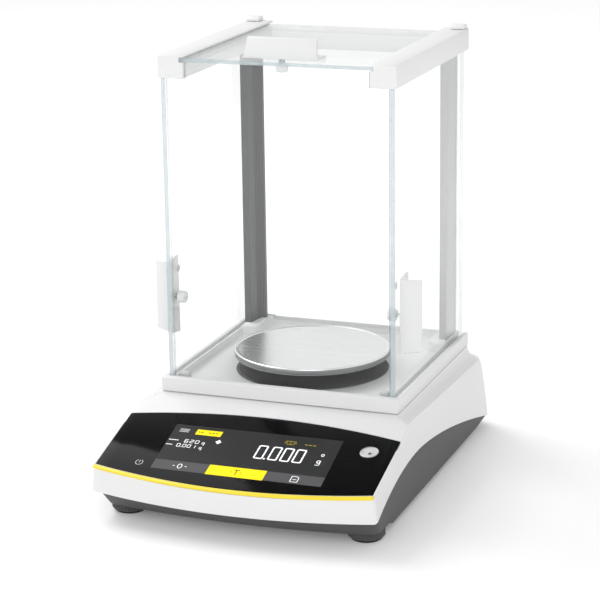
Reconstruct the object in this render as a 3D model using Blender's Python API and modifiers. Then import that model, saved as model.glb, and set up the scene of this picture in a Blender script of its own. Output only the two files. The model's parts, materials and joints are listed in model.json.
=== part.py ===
"""Analytical balance with a sliding-door glass draft shield.

Every physical piece is its own object, at its real size, in its assembled place.
The frame: X to the right, Y from the front panel to the rear, Z up; the origin is
on the bench, under the middle of the balance. Dimensions are in millimetres and
are scaled to metres where a mesh is made.
"""
import math

import bmesh
import bpy
import numpy as np
from mathutils import Euler, Matrix, Vector

MM = 0.001
GAP = 0.3                 # clearance between two pieces that touch

# ---- driving dimensions, mm --------------------------------------------------
HALF_WIDTH = 109.5        # widest, low on the side walls
FRONT = -157.5            # middle of the bowed front
REAR = 157.5
FRONT_BOW = 12.8          # how far the middle of the front stands ahead of its corners
WALL = 2.5
DECK_Z = 70.0             # flat deck of the top cover, under the draft shield
SLOPE_FOOT_Z = 42.5       # operating slope at the front corners
SLOPE_TOP_Y = -49.0       # where the slope meets the deck

PANEL_HALF_WIDTH = 105.2
PANEL_THICK = 1.4
PANEL_TOP_Y = -80.0       # corners of the panel, measured along the bench
PANEL_FOOT_Y = -143.2
PANEL_BOW = 11.3
TRIM_DEPTH = 3.0
TRIM_HEIGHT = 3.4

SHIELD_HALF_WIDTH = 93.7
SHIELD_REAR = 135.8
SHIELD_TOP_Z = 81.1       # rim of the tray
TRAY_FLOOR_Z = 75.0
RIM_INNER_X = 84.6
RIM_INNER_FRONT = -39.4
RIM_INNER_REAR = 131.5

GLASS = 3.5               # thickness of every pane
DOOR_OUTER_X = 89.5
DOOR_FRONT = -42.5
DOOR_LENGTH = 176.0
DOOR_SINK = 3.6           # how deep the doors stand in the rim's grooves

RAIL_OUTER_X = 91.3
RAIL_WIDTH = 20.3
RAIL_TOP_Z = 324.9
RAIL_HEIGHT = 17.0
RAIL_FRONT = -44.5
RAIL_REAR = 141.0
RAIL_CAP_FRONT = 122.0
RAIL_CAP_RISE = 4.6
TOP_GLASS_Z = 320.2       # underside of the top door
SLOT_DEPTH = 3.4          # how far the panes reach into the rails' slots

PILLAR_OUTER_X = 85.2
PILLAR_FRONT = 102.0
PILLAR_DEPTH = 26.0
COLLAR_TOP_Z = 82.0       # the moulded foot round each pillar
FRONT_PANE_Y = DOOR_FRONT - 0.2
REAR_PANE_Y = 129.8

PAN_Y = 28.0
PAN_RADIUS = 60.0
PAN_TOP_Z = 91.5
PAN_RIM = 5.0
STEM_HOLE_RADIUS = 16.0   # where the pan's stem passes through the tray and the cover

FOOT_X = 91.4
FRONT_FOOT_Y = -116.0
REAR_FOOT_Y = 112.0
FOOT_RADIUS = 13.5
SCREW_X = 70.0
SCREW_YS = (-92.0, 96.0)

LEVEL_PLACE = (87.0, -95.8)         # x, y
LEVEL_HOLE_RADIUS = 7.0
POWER_PLACE = (-62.0, 32.0)         # x, z on the rear wall
DATA_PLACE = (-34.0, 32.0)
CONNECTOR_HOLES = ((*POWER_PLACE, 6.5, 6.5), (*DATA_PLACE, 7.0, 6.5))
CONNECTOR_FACE_Y = 154.0
CONNECTOR_DEPTH = 17.0

HANDLE_MID_Z = 139.5      # middle of the side doors' handles
HANDLE_BACK = 9.5         # from a door's front edge to its handle
HANDLE_LENGTH = 61.0
HANDLE_FLANGE = 14.5
HANDLE_REACH = 15.0
HANDLE_THICK = 2.4

RIGHT, LEFT = 1, -1
OUTLINE_MIDDLE = 7        # which point of a plan outline is the middle of its front


# ---- shared helpers ----------------------------------------------------------
def new_collection(name):
    collection = bpy.data.collections.new(name)
    bpy.context.scene.collection.children.link(collection)
    return collection


def clear_scene():
    for obj in list(bpy.data.objects):
        bpy.data.objects.remove(obj, do_unlink=True)


clear_scene()
PARTS = new_collection("analytical_balance")
CUTTERS = new_collection("cutters")


def material(name, color, roughness, metallic=0.0, alpha=1.0):
    """A Principled material; a name that exists already is shared."""
    found = bpy.data.materials.get(name)
    if found:
        return found
    made = bpy.data.materials.new(name)
    made.use_nodes = True
    shader = made.node_tree.nodes["Principled BSDF"]
    shader.inputs["Base Color"].default_value = (*color, 1.0)
    shader.inputs["Roughness"].default_value = roughness
    shader.inputs["Metallic"].default_value = metallic
    shader.inputs["Alpha"].default_value = alpha
    return made


def white_plastic():
    return material("white_plastic", (0.86, 0.86, 0.86), 0.45)


def dark_plastic():
    return material("dark_plastic", (0.09, 0.09, 0.095), 0.55)


def clear_glass():
    return material("clear_glass", (0.86, 0.95, 0.93), 0.03, alpha=0.35)


def steel():
    return material("steel", (0.62, 0.62, 0.63), 0.3, metallic=1.0)


def aluminium():
    return material("aluminium", (0.55, 0.56, 0.57), 0.4, metallic=1.0)


def rubber():
    return material("rubber", (0.03, 0.03, 0.03), 0.9)


def add_object(name, bm, finish, pivot=(0, 0, 0), collection=None):
    """Make an object from a bmesh drawn in the balance's own millimetres."""
    bmesh.ops.remove_doubles(bm, verts=bm.verts, dist=0.001)
    bmesh.ops.recalc_face_normals(bm, faces=bm.faces)
    bmesh.ops.translate(bm, verts=bm.verts, vec=-Vector(pivot))
    bmesh.ops.scale(bm, verts=bm.verts, vec=(MM, MM, MM))
    mesh = bpy.data.meshes.new(name)
    bm.to_mesh(mesh)
    bm.free()
    obj = bpy.data.objects.new(name, mesh)
    (collection or PARTS).objects.link(obj)
    obj.location = Vector(pivot) * MM
    if finish:
        mesh.materials.append(finish)
    return obj


def box_mesh(low, high, bm=None):
    bm = bm or bmesh.new()
    low, high = Vector(low), Vector(high)
    middle = Matrix.Translation((low + high) / 2)
    size = Matrix.Diagonal(((high - low).x, (high - low).y, (high - low).z, 1))
    bmesh.ops.create_cube(bm, size=1.0, matrix=middle @ size)
    return bm


def rod_mesh(centre, radius, length, axis="Z", sides=24, tip=None, bm=None):
    """A cylinder, or a cone when tip is given, centred on centre along an axis."""
    bm = bm or bmesh.new()
    turn = {"Z": Euler((0, 0, 0)), "X": Euler((0, math.pi / 2, 0)), "Y": Euler((-math.pi / 2, 0, 0))}[axis]
    place = Matrix.Translation(centre) @ turn.to_matrix().to_4x4()
    bmesh.ops.create_cone(bm, cap_ends=True, segments=sides, radius1=radius,
                          radius2=radius if tip is None else tip, depth=length, matrix=place)
    return bm


def bevel(obj, width, segments=2, angle=40):
    mod = obj.modifiers.new("soft_edges", "BEVEL")
    mod.width = width * MM
    mod.segments = segments
    mod.limit_method = "ANGLE"
    mod.angle_limit = math.radians(angle)
    return obj


def box(name, low, high, finish, pivot=(0, 0, 0), edge=0.0, segments=2):
    obj = add_object(name, box_mesh(low, high), finish, pivot)
    return bevel(obj, edge, segments) if edge else obj


def rod(name, centre, radius, length, finish, axis="Z", sides=24, pivot=None, edge=0.0):
    bm = rod_mesh(centre, radius, length, axis, sides)
    obj = add_object(name, bm, finish, centre if pivot is None else pivot)
    smooth(obj)
    return bevel(obj, edge, 1) if edge else obj


def smooth(obj, angle=35):
    obj.data.shade_smooth()
    obj.data.set_sharp_from_angle(angle=math.radians(angle))
    return obj


def boolean(obj, other, operation="DIFFERENCE"):
    mod = obj.modifiers.new(operation.lower(), "BOOLEAN")
    mod.operation = operation
    mod.object = other
    return obj


def cutter(bm):
    """Put a bmesh into the cutters' collection, hidden from the finished model."""
    obj = add_object("cutter", bm, None, collection=CUTTERS)
    obj.hide_render = True
    obj.display_type = "WIRE"
    return obj


def cut_boxes(obj, *corners):
    for low, high in corners:
        boolean(obj, cutter(box_mesh(low, high)))
    return obj


def cut_rods(obj, *rods):
    for centre, radius, length, axis in rods:
        boolean(obj, cutter(rod_mesh(centre, radius, length, axis)))
    return obj


def add_boxes(obj, *corners):
    for low, high in corners:
        boolean(obj, cutter(box_mesh(low, high)), "UNION")
    return obj


def add_rods(obj, *rods):
    for centre, radius, length, axis in rods:
        boolean(obj, cutter(rod_mesh(centre, radius, length, axis)), "UNION")
    return obj


def turned(name, profile, centre, finish, steps=40):
    """Turn a closed profile of (radius, height) about the vertical through centre.

    The profile runs down its outer side first, so that the faces point outwards.
    """
    bm = bmesh.new()
    verts = [bm.verts.new((r * MM, 0, z * MM)) for r, z in profile]
    for i in range(len(verts)):
        if profile[i][0] > 0 or profile[(i + 1) % len(verts)][0] > 0:
            bm.edges.new((verts[i], verts[(i + 1) % len(verts)]))
    mesh = bpy.data.meshes.new(name)
    bm.to_mesh(mesh)
    bm.free()
    obj = bpy.data.objects.new(name, mesh)
    PARTS.objects.link(obj)
    obj.location = Vector(centre) * MM
    mesh.materials.append(finish)
    mod = obj.modifiers.new("turn", "SCREW")
    mod.steps = steps
    mod.render_steps = steps
    mod.use_merge_vertices = True
    mod.merge_threshold = 0.00001
    mod.use_smooth_shade = True
    return obj


def prism(name, outline, low, high, finish, axis="Z", pivot=(0, 0, 0), collection=None):
    """Extrude a flat outline along an axis from low to high.

    The outline's points are (x, y) for Z, (y, z) for X and (x, z) for Y.
    """
    place = {"Z": lambda a, b, h: (a, b, h), "X": lambda a, b, h: (h, a, b),
             "Y": lambda a, b, h: (a, h, b)}[axis]
    bm = bmesh.new()
    face = bm.faces.new([bm.verts.new(place(a, b, low)) for a, b in outline])
    lifted = bmesh.ops.extrude_face_region(bm, geom=[face])["geom"]
    moved = [item for item in lifted if isinstance(item, bmesh.types.BMVert)]
    bmesh.ops.translate(bm, verts=moved, vec=place(0, 0, high - low))
    return add_object(name, bm, finish, pivot, collection)


def hide_cutter(obj):
    obj.hide_render = True
    obj.display_type = "WIRE"
    return obj


def loft(bm, rings, front_index=None):
    """Join closed rings of equal length, each to the next, and close both ends.

    The ends are single faces, or ladders of faces between mirrored points when
    front_index says which point lies on the middle plane.
    """
    rows = [[bm.verts.new(point) for point in ring] for ring in rings]
    count = len(rows[0])
    for lower, upper in zip(rows, rows[1:]):
        for i in range(count):
            j = (i + 1) % count
            bm.faces.new((lower[i], lower[j], upper[j], upper[i]))
    for row in (rows[0], rows[-1]):
        if front_index is None:
            bm.faces.new(row)
            continue
        for k in range((count - 1) // 2):
            corners = [row[(front_index + step) % count] for step in (k, k + 1, -k - 1, -k)]
            bm.faces.new(corners if k else corners[:3])
    return bm


# ---- the housing's outer form ------------------------------------------------
def plan_outline(half_width, front, bow, rear, front_radius, rear_radius):
    """Closed plan outline with a bowed front, counter-clockwise, the same count every time."""
    slope = math.atan(2 * bow / half_width)
    end_x = half_width - front_radius * (1 - math.sin(slope))
    points = []
    for x in np.linspace(-end_x, end_x, 2 * OUTLINE_MIDDLE + 1):
        points.append((x, front - bow * (1 - (x / half_width) ** 2)))
    end_y = points[-1][1] + front_radius * math.cos(slope)
    side = []
    for turn in np.linspace(slope - math.pi / 2, 0, 5)[1:]:
        side.append((half_width - front_radius + front_radius * math.cos(turn),
                     end_y + front_radius * math.sin(turn)))
    for y in np.linspace(end_y, rear - rear_radius, 14)[1:]:
        side.append((half_width, y))
    for turn in np.linspace(0, math.pi / 2, 6)[1:]:
        side.append((half_width - rear_radius + rear_radius * math.cos(turn),
                     rear - rear_radius + rear_radius * math.sin(turn)))
    points += side
    points += [(-x, y) for x, y in reversed(side)]
    return [(float(x), float(y)) for x, y in points]


def side_flare(z):
    """Half width of the white side wall at a height."""
    return float(np.interp(z, (8, 14, 42, 58, 66), (109.5, 109.4, 107.6, 105.6, 104.2)))


def rear_lean(z):
    return float(np.interp(z, (8, 14, 40, 60), (157.5, 157.3, 153.5, 149.5)))


def parting_height(x, y):
    """Height of the joint between the white cover and the dark base: an arch along the sides."""
    corner_y = FRONT + FRONT_BOW
    if y < corner_y:
        return 20.7 + 1.6 * (x / HALF_WIDTH) ** 2
    crown_y, crown_z = -42.0, 42.5
    if y < crown_y:
        return crown_z - 20.2 * ((crown_y - y) / (crown_y - corner_y)) ** 2
    return max(crown_z - 36.0 * ((y - crown_y) / (REAR - crown_y)) ** 1.55, 9.5)


def shoulder_height(y):
    return float(np.interp(y, (-60, 140), (66.5, 60.0)))


def slope_height(y):
    rise = (DECK_Z - SLOPE_FOOT_Z) / (SLOPE_TOP_Y - (FRONT + FRONT_BOW))
    return SLOPE_FOOT_Z + rise * (y - (FRONT + FRONT_BOW))


SLOPE_ANGLE = math.atan2(slope_height(1) - slope_height(0), 1)
SLOPE_NORMAL = Vector((0, -math.sin(SLOPE_ANGLE), math.cos(SLOPE_ANGLE)))


def shell_ring(inset, height):
    """One ring of the side walls; height is a function of the plan point."""
    ring = []
    for x, y in plan_outline(HALF_WIDTH, FRONT + FRONT_BOW, FRONT_BOW, REAR, 7, 21):
        z = height(x, y)
        x *= side_flare(z) / HALF_WIDTH
        if y > 0:
            y *= rear_lean(z) / REAR
        ring.append((x, y, z))
    if inset:
        scale_x = (HALF_WIDTH - inset) / HALF_WIDTH
        scale_y = (REAR - inset) / REAR
        ring = [(x * scale_x, y * scale_y, z) for x, y, z in ring]
    return ring


def ledge_ring(half_width, front, bow, rear, radius, inset, rise):
    """One ring of the ledge between the shoulder and the deck."""
    outline = plan_outline(half_width - inset, front, bow, rear - inset, min(radius, 8), radius)
    return [(x, y, rise(y)) for x, y in outline]


def cover_form(inset):
    """The white cover's form: flared walls, a soft shoulder, a hollow ledge and the deck."""
    drop = inset
    bottom = (lambda x, y: -5.0) if inset else parting_height
    rings = [shell_ring(inset, bottom),
             shell_ring(inset, lambda x, y: 44.0),
             shell_ring(inset, lambda x, y: shoulder_height(y) - 3.5)]
    levels = ((103.4, -77, 10, 148.6, 19, 0.0), (101.2, -75, 9, 146.4, 17, 0.10),
              (97.2, -70, 6, 141.0, 11, 0.32), (94.6, -60, 2, 137.0, 5, 0.72),
              (SHIELD_HALF_WIDTH, SLOPE_TOP_Y - 1.5, 0, SHIELD_REAR, 2.5, 1.0))
    for half_width, front, bow, rear, radius, part in levels:
        def rise(y, part=part):
            return shoulder_height(y) * (1 - part) + DECK_Z * part - drop
        rings.append(ledge_ring(half_width, front, bow, rear, radius, inset, rise))
    bm = loft(bmesh.new(), rings, OUTLINE_MIDDLE)
    cut = bmesh.ops.bisect_plane(bm, geom=bm.verts[:] + bm.edges[:] + bm.faces[:], dist=1e-5,
                                 plane_co=(0, SLOPE_TOP_Y, DECK_Z - drop), plane_no=SLOPE_NORMAL,
                                 clear_outer=True)["geom_cut"]
    rim = [item for item in cut if isinstance(item, bmesh.types.BMEdge) and item.is_boundary]
    bmesh.ops.holes_fill(bm, edges=rim, sides=0)
    return bm


def slope_prism(name, outline, depth_from, depth_to, finish, collection=None):
    """Extrude a plan outline square to the operating slope, between two depths below it."""
    bm = bmesh.new()
    top = [Vector((x, y, slope_height(y))) - SLOPE_NORMAL * depth_from for x, y in outline]
    foot = [Vector((x, y, slope_height(y))) - SLOPE_NORMAL * depth_to for x, y in outline]
    loft(bm, [foot, top])
    return add_object(name, bm, finish, collection=collection)


def panel_outline(inset=0.0):
    """The control panel's outline: straight sides, and bowed top and bottom edges."""
    half = PANEL_HALF_WIDTH - inset
    bows = [(x, PANEL_BOW * (1 - (x / half) ** 2)) for x in np.linspace(-half, half, 17)]
    foot = [(x, PANEL_FOOT_Y + inset - bow) for x, bow in bows]
    top = [(x, PANEL_TOP_Y - inset + bow) for x, bow in reversed(bows)]
    return [(float(x), float(y)) for x, y in foot + top]


# ---- housing -----------------------------------------------------------------
def make_top_cover():
    cover = add_object("top_cover", cover_form(0.0), white_plastic())
    boolean(cover, cutter(cover_form(WALL)))
    pocket = hide_cutter(slope_prism("cutter", panel_outline(-GAP), -3, PANEL_THICK + 0.2, None, CUTTERS))
    boolean(cover, pocket)
    corners = [(-66, -142), (66, -142), (66, -85), (-66, -85)]
    window = hide_cutter(slope_prism("cutter", corners, 0, 6, None, CUTTERS))
    boolean(cover, window)
    strip = hide_cutter(trim_form("cutter", GAP, None, CUTTERS))
    boolean(cover, strip)
    cut_rods(cover, ((0, PAN_Y, DECK_Z), STEM_HOLE_RADIUS, 12, "Z"))
    level_x, level_y = LEVEL_PLACE
    cut_rods(cover, ((level_x, level_y, slope_height(level_y)), LEVEL_HOLE_RADIUS + 1.5, 14, "Z"))
    cut_boxes(cover, *[((x - w, REAR - 12, z - h), (x + w, REAR + 4, z + h))
                       for x, z, w, h in CONNECTOR_HOLES])
    smooth(cover, 30)


def trim_form(name, grow, finish, collection=None):
    """The trim strip along the panel's lower edge, wrapping onto the front face."""
    outer, inner = [], []
    half = PANEL_HALF_WIDTH + 1.2 + grow
    for x in np.linspace(-half, half, 17):
        bow = PANEL_BOW * (1 - (x / half) ** 2)
        outer.append((float(x), PANEL_FOOT_Y - bow - TRIM_DEPTH - grow))
        inner.append((float(x), PANEL_FOOT_Y - bow - GAP + grow * 0.5))
    outline = outer + inner[::-1]
    bm = bmesh.new()
    top = [(x, y, slope_height(y) + (3 if grow else 0)) for x, y in outline]
    foot = [(x, y, slope_height(y) - TRIM_HEIGHT - grow) for x, y in outline]
    loft(bm, [foot, top])
    return add_object(name, bm, finish, collection=collection)


def make_base_tub():
    """The dark base: a floor with leaning walls that follow the arch."""
    def wall_ring(inset, lift):
        ring = shell_ring(1.3 + inset, parting_height)
        moved = []
        for x, y, z in ring:
            if y < FRONT + FRONT_BOW + 10:
                y += 4.5
            moved.append((x, y, z + lift))
        return moved

    def foot_ring(inset, z, front_rise=0.0):
        outline = plan_outline(104.4 - inset, -129.5 + inset, 9.6, 144 - inset, 9, 19)
        return [(x, y, z + (front_rise if y < -100 else 0.0)) for x, y in outline]

    under = [(x, y, 4.0) for x, y in plan_outline(100.0, -120.0, 9.0, 139.0, 8, 17)]
    rings = [under, foot_ring(0, 5.0, 3.0), wall_ring(0, -GAP), wall_ring(WALL, -GAP),
             foot_ring(WALL + 1, 11.6)]
    tub = add_object("base_tub", loft(bmesh.new(), rings, OUTLINE_MIDDLE), dark_plastic())
    for side in (LEFT, RIGHT):
        add_rods(tub, ((side * FOOT_X, FRONT_FOOT_Y, 15.5), 7, 9, "Z"))
        cut_rods(tub, ((side * FOOT_X, FRONT_FOOT_Y, 4.6), FOOT_RADIUS + 1.5, 9.2, "Z"),
                 ((side * FOOT_X, FRONT_FOOT_Y, 12), 3.3, 20, "Z"),
                 ((side * FOOT_X, REAR_FOOT_Y, 4.0), 9.3, 5.0, "Z"))
        add_rods(tub, *[((side * SCREW_X, y, 12), 4.5, 8, "Z") for y in SCREW_YS])
        cut_rods(tub, *[((side * SCREW_X, y, 8), 1.8, 20, "Z") for y in SCREW_YS],
                 *[((side * SCREW_X, y, 3), 3.9, 6, "Z") for y in SCREW_YS])
    smooth(tub, 30)


def make_control_panel():
    panel = slope_prism("control_panel", panel_outline(), 0, PANEL_THICK,
                        material("panel_glass", (0.006, 0.006, 0.007), 0.12))
    level_x, level_y = LEVEL_PLACE
    cut_rods(panel, ((level_x, level_y, slope_height(level_y)), LEVEL_HOLE_RADIUS, 14, "Z"))


def make_display_module():
    """The colour display with its metal tray, behind the panel's window."""
    outline = [(-65, -141.2), (65, -141.2), (65, -86), (-65, -86)]
    slope_prism("display_module", outline, PANEL_THICK + GAP, PANEL_THICK + 5.5,
                material("display", (0.03, 0.03, 0.032), 0.3))


def make_level():
    """The bubble level: a turned cup that stands upright, so that it reads true."""
    x, y = LEVEL_PLACE
    z = slope_height(y)
    turned("level_vial", ((6.6, -3.2), (6.6, -9.5), (0, -9.5), (0, -3.2)), (x, y, z), steel(), 24)


# ---- feet --------------------------------------------------------------------
def make_front_foot(side, word):
    """A knurled wheel on a threaded stud, turning on a soft pad that does not turn."""
    place = (side * FOOT_X, FRONT_FOOT_Y, 0)
    wheel = ((3.0, 20.0), (3.0, 8.6), (11.5, 8.6), (FOOT_RADIUS, 7.8), (FOOT_RADIUS, 2.6),
             (12.3, 1.9), (0, 1.9), (0, 20.0))
    turned(f"foot_wheel_{word}", wheel, place, dark_plastic(), 28)
    pad = ((11.2, 1.6), (11.2, 0.5), (10.6, 0), (0, 0), (0, 1.6))
    turned(f"foot_pad_{word}", pad, place, rubber(), 24)


def make_rear_foot(side, word):
    profile = ((9.0, 6.2), (9.0, 0.6), (8.2, 0), (0, 0), (0, 6.2))
    turned(f"rear_foot_{word}", profile, (side * FOOT_X, REAR_FOOT_Y, 0), rubber(), 24)


def make_housing_screws():
    for number, (x, y) in enumerate(((x * SCREW_X, y) for y in SCREW_YS for x in (LEFT, RIGHT)), 1):
        profile = ((1.5, 15.0), (1.5, 5.7), (3.5, 5.7), (3.5, 4.4), (0, 4.4), (0, 15.0))
        turned(f"housing_screw_{number}", profile, (x, y, 0), steel(), 12)


# ---- inside the housing ------------------------------------------------------
def make_load_cell():
    """A one-piece aluminium cell: fixed at its rear end, loaded at its front end."""
    low, high = (-20, PAN_Y - 14, 26), (20, PAN_Y + 92, 52)
    cell = box("load_cell", low, high, aluminium(), edge=0.8, segments=1)
    cut_boxes(cell, ((-21, PAN_Y + 12, 33), (21, PAN_Y + 62, 45)))
    cut_rods(cell, ((0, PAN_Y + 10, 39), 4, 44, "X"), ((0, PAN_Y + 64, 39), 4, 44, "X"))
    box("load_cell_mount", (-26, PAN_Y + 68, 12.0), (26, PAN_Y + 96, 25.7), aluminium(), edge=1.0, segments=1)
    turned("force_coil_housing", ((17, 13.5), (17, 0), (0, 0), (0, 13.5)), (0, PAN_Y, 12.0), steel(), 28)


def make_load_receiver():
    profile = ((4.0, 80.0), (6.0, 62.0), (13.0, 62.0), (13.0, 58.5), (9.0, 58.5), (9.0, 52.3),
               (0, 52.3), (0, 80.0))
    turned("load_receiver", profile, (0, PAN_Y, 0), steel(), 28)


def make_boards():
    green = material("circuit_board", (0.02, 0.16, 0.07), 0.5)
    board = box("main_board", (-64, 46, 14.0), (-30, 130, 15.6), green)
    add_boxes(board, ((-61, 52, 15.0), (-47, 66, 18.4)), ((-58, 76, 15.0), (-48, 94, 17.6)),
              ((-42, 60, 15.0), (-34, 68, 20.5)))


def make_connectors():
    """The rear wall's sockets: a barrel jack for the supply and a square data socket."""
    black = material("socket_plastic", (0.02, 0.02, 0.02), 0.5)
    back, front = CONNECTOR_FACE_Y, CONNECTOR_FACE_Y - CONNECTOR_DEPTH
    x, z = POWER_PLACE
    jack = box("power_inlet", (x - 6.2, front, z - 6.2), (x + 6.2, back, z + 6.2), black,
               edge=0.4, segments=1)
    cut_rods(jack, ((x, back, z), 4.2, 20, "Y"))
    add_rods(jack, ((x, back - 7.5, z), 1.0, 9.0, "Y"))
    x, z = DATA_PLACE
    data = box("data_socket", (x - 6.7, front, z - 6.2), (x + 6.7, back, z + 6.2), steel(),
               edge=0.3, segments=1)
    cut_boxes(data, ((x - 4.4, back - 9, z - 4.0), (x + 4.4, back + 2, z + 4.0)))


# ---- weighing pan ------------------------------------------------------------
def make_pan():
    """Pressed steel pan: a flat disc, a fine raised bead and a turned-down rim."""
    top = PAN_TOP_Z
    profile = ((PAN_RADIUS - 0.6, top), (PAN_RADIUS, top - 0.6), (PAN_RADIUS, top - PAN_RIM),
               (PAN_RADIUS - 1.2, top - PAN_RIM), (PAN_RADIUS - 1.2, top - 1.9), (0, top - 1.9),
               (0, top - 0.7), (PAN_RADIUS - 1.8, top - 0.7), (PAN_RADIUS - 1.4, top))
    turned("weighing_pan", profile, (0, PAN_Y, 0), steel(), 64)
    profile = ((46, 89.3), (46, 87.3), (14, 83.2), (9.0, 76.6), (6.9, 76.6), (4.3, 80.4),
               (0, 80.4), (0, 89.3))
    turned("pan_support", profile, (0, PAN_Y, 0), dark_plastic(), 40)
    profile = ((58.5, 75.9), (59.0, 75.3), (17, 75.3), (17, 78.6), (18.4, 78.6), (19.5, 76.3), (57.0, 76.3))
    turned("pan_shield_disc", profile, (0, PAN_Y, 0), dark_plastic(), 56)


# ---- draft shield ------------------------------------------------------------
def make_shield_tray():
    """The white tray under the glass: a raised rim with grooves round a sunken floor."""
    tray = box("shield_tray", (-SHIELD_HALF_WIDTH, SLOPE_TOP_Y, DECK_Z + GAP),
               (SHIELD_HALF_WIDTH, SHIELD_REAR, SHIELD_TOP_Z), white_plastic(), edge=0.8)
    over, lip = SHIELD_TOP_Z + 5, 4
    cut_boxes(tray, ((-RIM_INNER_X, RIM_INNER_FRONT, TRAY_FLOOR_Z), (RIM_INNER_X, RIM_INNER_REAR, over)),
              ((lip - RIM_INNER_X, RIM_INNER_FRONT + lip, DECK_Z - 2),
               (RIM_INNER_X - lip, RIM_INNER_REAR - lip, 72.4)))
    cut_rods(tray, ((0, PAN_Y, TRAY_FLOOR_Z), STEM_HOLE_RADIUS, 20, "Z"))
    for side in (LEFT, RIGHT):
        collar = collar_outline(side)
        block = hide_cutter(prism("cutter", collar, TRAY_FLOOR_Z - 1, COLLAR_TOP_Z, None, collection=CUTTERS))
        boolean(tray, block, "UNION")
        door_in, door_out = side * (DOOR_OUTER_X - GLASS - GAP), side * (DOOR_OUTER_X + 0.8)
        low_x, high_x = sorted((door_in, door_out))
        cut_boxes(tray, ((low_x, DOOR_FRONT - 0.5, SHIELD_TOP_Z - DOOR_SINK - GAP),
                         (high_x, SHIELD_REAR + 5, SHIELD_TOP_Z + 8)))
        foot = hide_cutter(prism("cutter", pillar_outline(side, GAP), SHIELD_TOP_Z - 0.3, 90, None,
                                 collection=CUTTERS))
        boolean(tray, foot)
    half = DOOR_OUTER_X - GLASS - GAP
    groove = SHIELD_TOP_Z - 2.6
    cut_boxes(tray, ((-half, FRONT_PANE_Y - GAP, groove), (half, RIM_INNER_FRONT + 1, over)),
              ((-half, REAR_PANE_Y - GAP, groove), (half, REAR_PANE_Y + GLASS + GAP, over)))


def pillar_outline(side, grow=0.0):
    """The aluminium pillar: a narrow front face, and an inner face that slants inwards."""
    outer = PILLAR_OUTER_X + grow
    front, back = PILLAR_FRONT - grow, PILLAR_FRONT + PILLAR_DEPTH + grow
    inner_front, inner_back = 79.6 - grow, 75.4 - grow
    points = [(inner_front, front), (outer, front), (outer, back), (inner_back, back), (inner_back, back - 4),
              (inner_front - 1.4, front + 9)]
    return [(side * x, y) for x, y in (points if side > 0 else points[::-1])]


def collar_outline(side):
    """The moulded foot round a pillar, with a rounded nose towards the front."""
    nose = [(79.5 + 8.5 * math.cos(turn), 99.5 + 6.0 * math.sin(turn))
            for turn in np.linspace(math.pi, math.pi * 1.5, 6)]
    points = nose + [(88.0, 93.5), (88.0, SHIELD_REAR - 0.5), (71.0, SHIELD_REAR - 0.5)]
    return [(side * x, y) for x, y in (points if side > 0 else points[::-1])]


def make_pillar(side, word):
    low, high = SHIELD_TOP_Z, RAIL_TOP_Z - RAIL_HEIGHT - GAP
    pillar = prism(f"pillar_{word}", pillar_outline(side), low, high, aluminium())
    bevel(pillar, 0.5, 1)


def make_rail(side, word):
    """A moulded top rail: a slot for its side door below, a slot for the top door inside."""
    outer, inner = side * RAIL_OUTER_X, side * (RAIL_OUTER_X - RAIL_WIDTH)
    low_x, high_x = sorted((outer, inner))
    low_z = RAIL_TOP_Z - RAIL_HEIGHT
    rail = box(f"rail_{word}", (low_x, RAIL_FRONT, low_z), (high_x, RAIL_REAR, RAIL_TOP_Z),
               white_plastic(), edge=1.2)
    face_x = RAIL_OUTER_X - RAIL_WIDTH
    door_low, door_high = sorted((side * (DOOR_OUTER_X - GLASS - GAP), side * (DOOR_OUTER_X + GAP)))
    top_low, top_high = sorted((side * (face_x - 2), side * (face_x + SLOT_DEPTH)))
    cut_boxes(rail,
              ((door_low, DOOR_FRONT - GAP, low_z - 2), (door_high, RAIL_REAR + 5, low_z + SLOT_DEPTH)),
              ((top_low, DOOR_FRONT - GAP - 6, TOP_GLASS_Z - GAP),
               (top_high, RAIL_REAR + 5, TOP_GLASS_Z + GLASS - 0.1)))


def make_rail_cap(side, word):
    """The raised round-backed cap over a rail's rear end, which locks the shield's frame."""
    low, high = sorted((side * (RAIL_OUTER_X - 0.4), side * (RAIL_OUTER_X - 13.0)))
    z = RAIL_TOP_Z + GAP
    back_radius = 6
    crest = RAIL_REAR - back_radius
    length = crest - RAIL_CAP_FRONT
    curve = [(RAIL_CAP_FRONT + length * part, z + RAIL_CAP_RISE * math.sin(part * math.pi / 2))
             for part in np.linspace(0, 1, 6)]
    rear = [(crest + back_radius * math.sin(turn), z + RAIL_CAP_RISE * math.cos(turn))
            for turn in np.linspace(0.3, 1.4, 4)]
    outline = [(float(y), float(h)) for y, h in curve + rear] + [(RAIL_REAR, z)]
    prism(f"rail_cap_{word}", outline[::-1], low, high, white_plastic(), axis="X")


def make_crossbeam():
    inner = RAIL_OUTER_X - RAIL_WIDTH - GAP
    box("rear_crossbeam", (-inner, 134.0, 304.2), (inner, RAIL_REAR, TOP_GLASS_Z - 0.5),
        white_plastic(), edge=1.0)


def make_front_pane():
    """The fixed front pane, notched at its upper corners to pass between the rails."""
    half = DOOR_OUTER_X - GLASS - 2 * GAP
    neck = RAIL_OUTER_X - RAIL_WIDTH - GAP
    foot, shoulder, top = SHIELD_TOP_Z - 2.3, RAIL_TOP_Z - RAIL_HEIGHT - GAP, TOP_GLASS_Z - GAP
    outline = [(-half, foot), (half, foot), (half, shoulder), (neck, shoulder), (neck, top),
               (-neck, top), (-neck, shoulder), (-half, shoulder)]
    prism("front_pane", outline, FRONT_PANE_Y, FRONT_PANE_Y + GLASS - 0.5, clear_glass(), axis="Y")


def make_rear_pane():
    half = PILLAR_OUTER_X - GAP
    top = RAIL_TOP_Z - RAIL_HEIGHT - GAP
    box("rear_pane", (-half, REAR_PANE_Y, SHIELD_TOP_Z - 2.3), (half, REAR_PANE_Y + GLASS, top),
        clear_glass())


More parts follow.
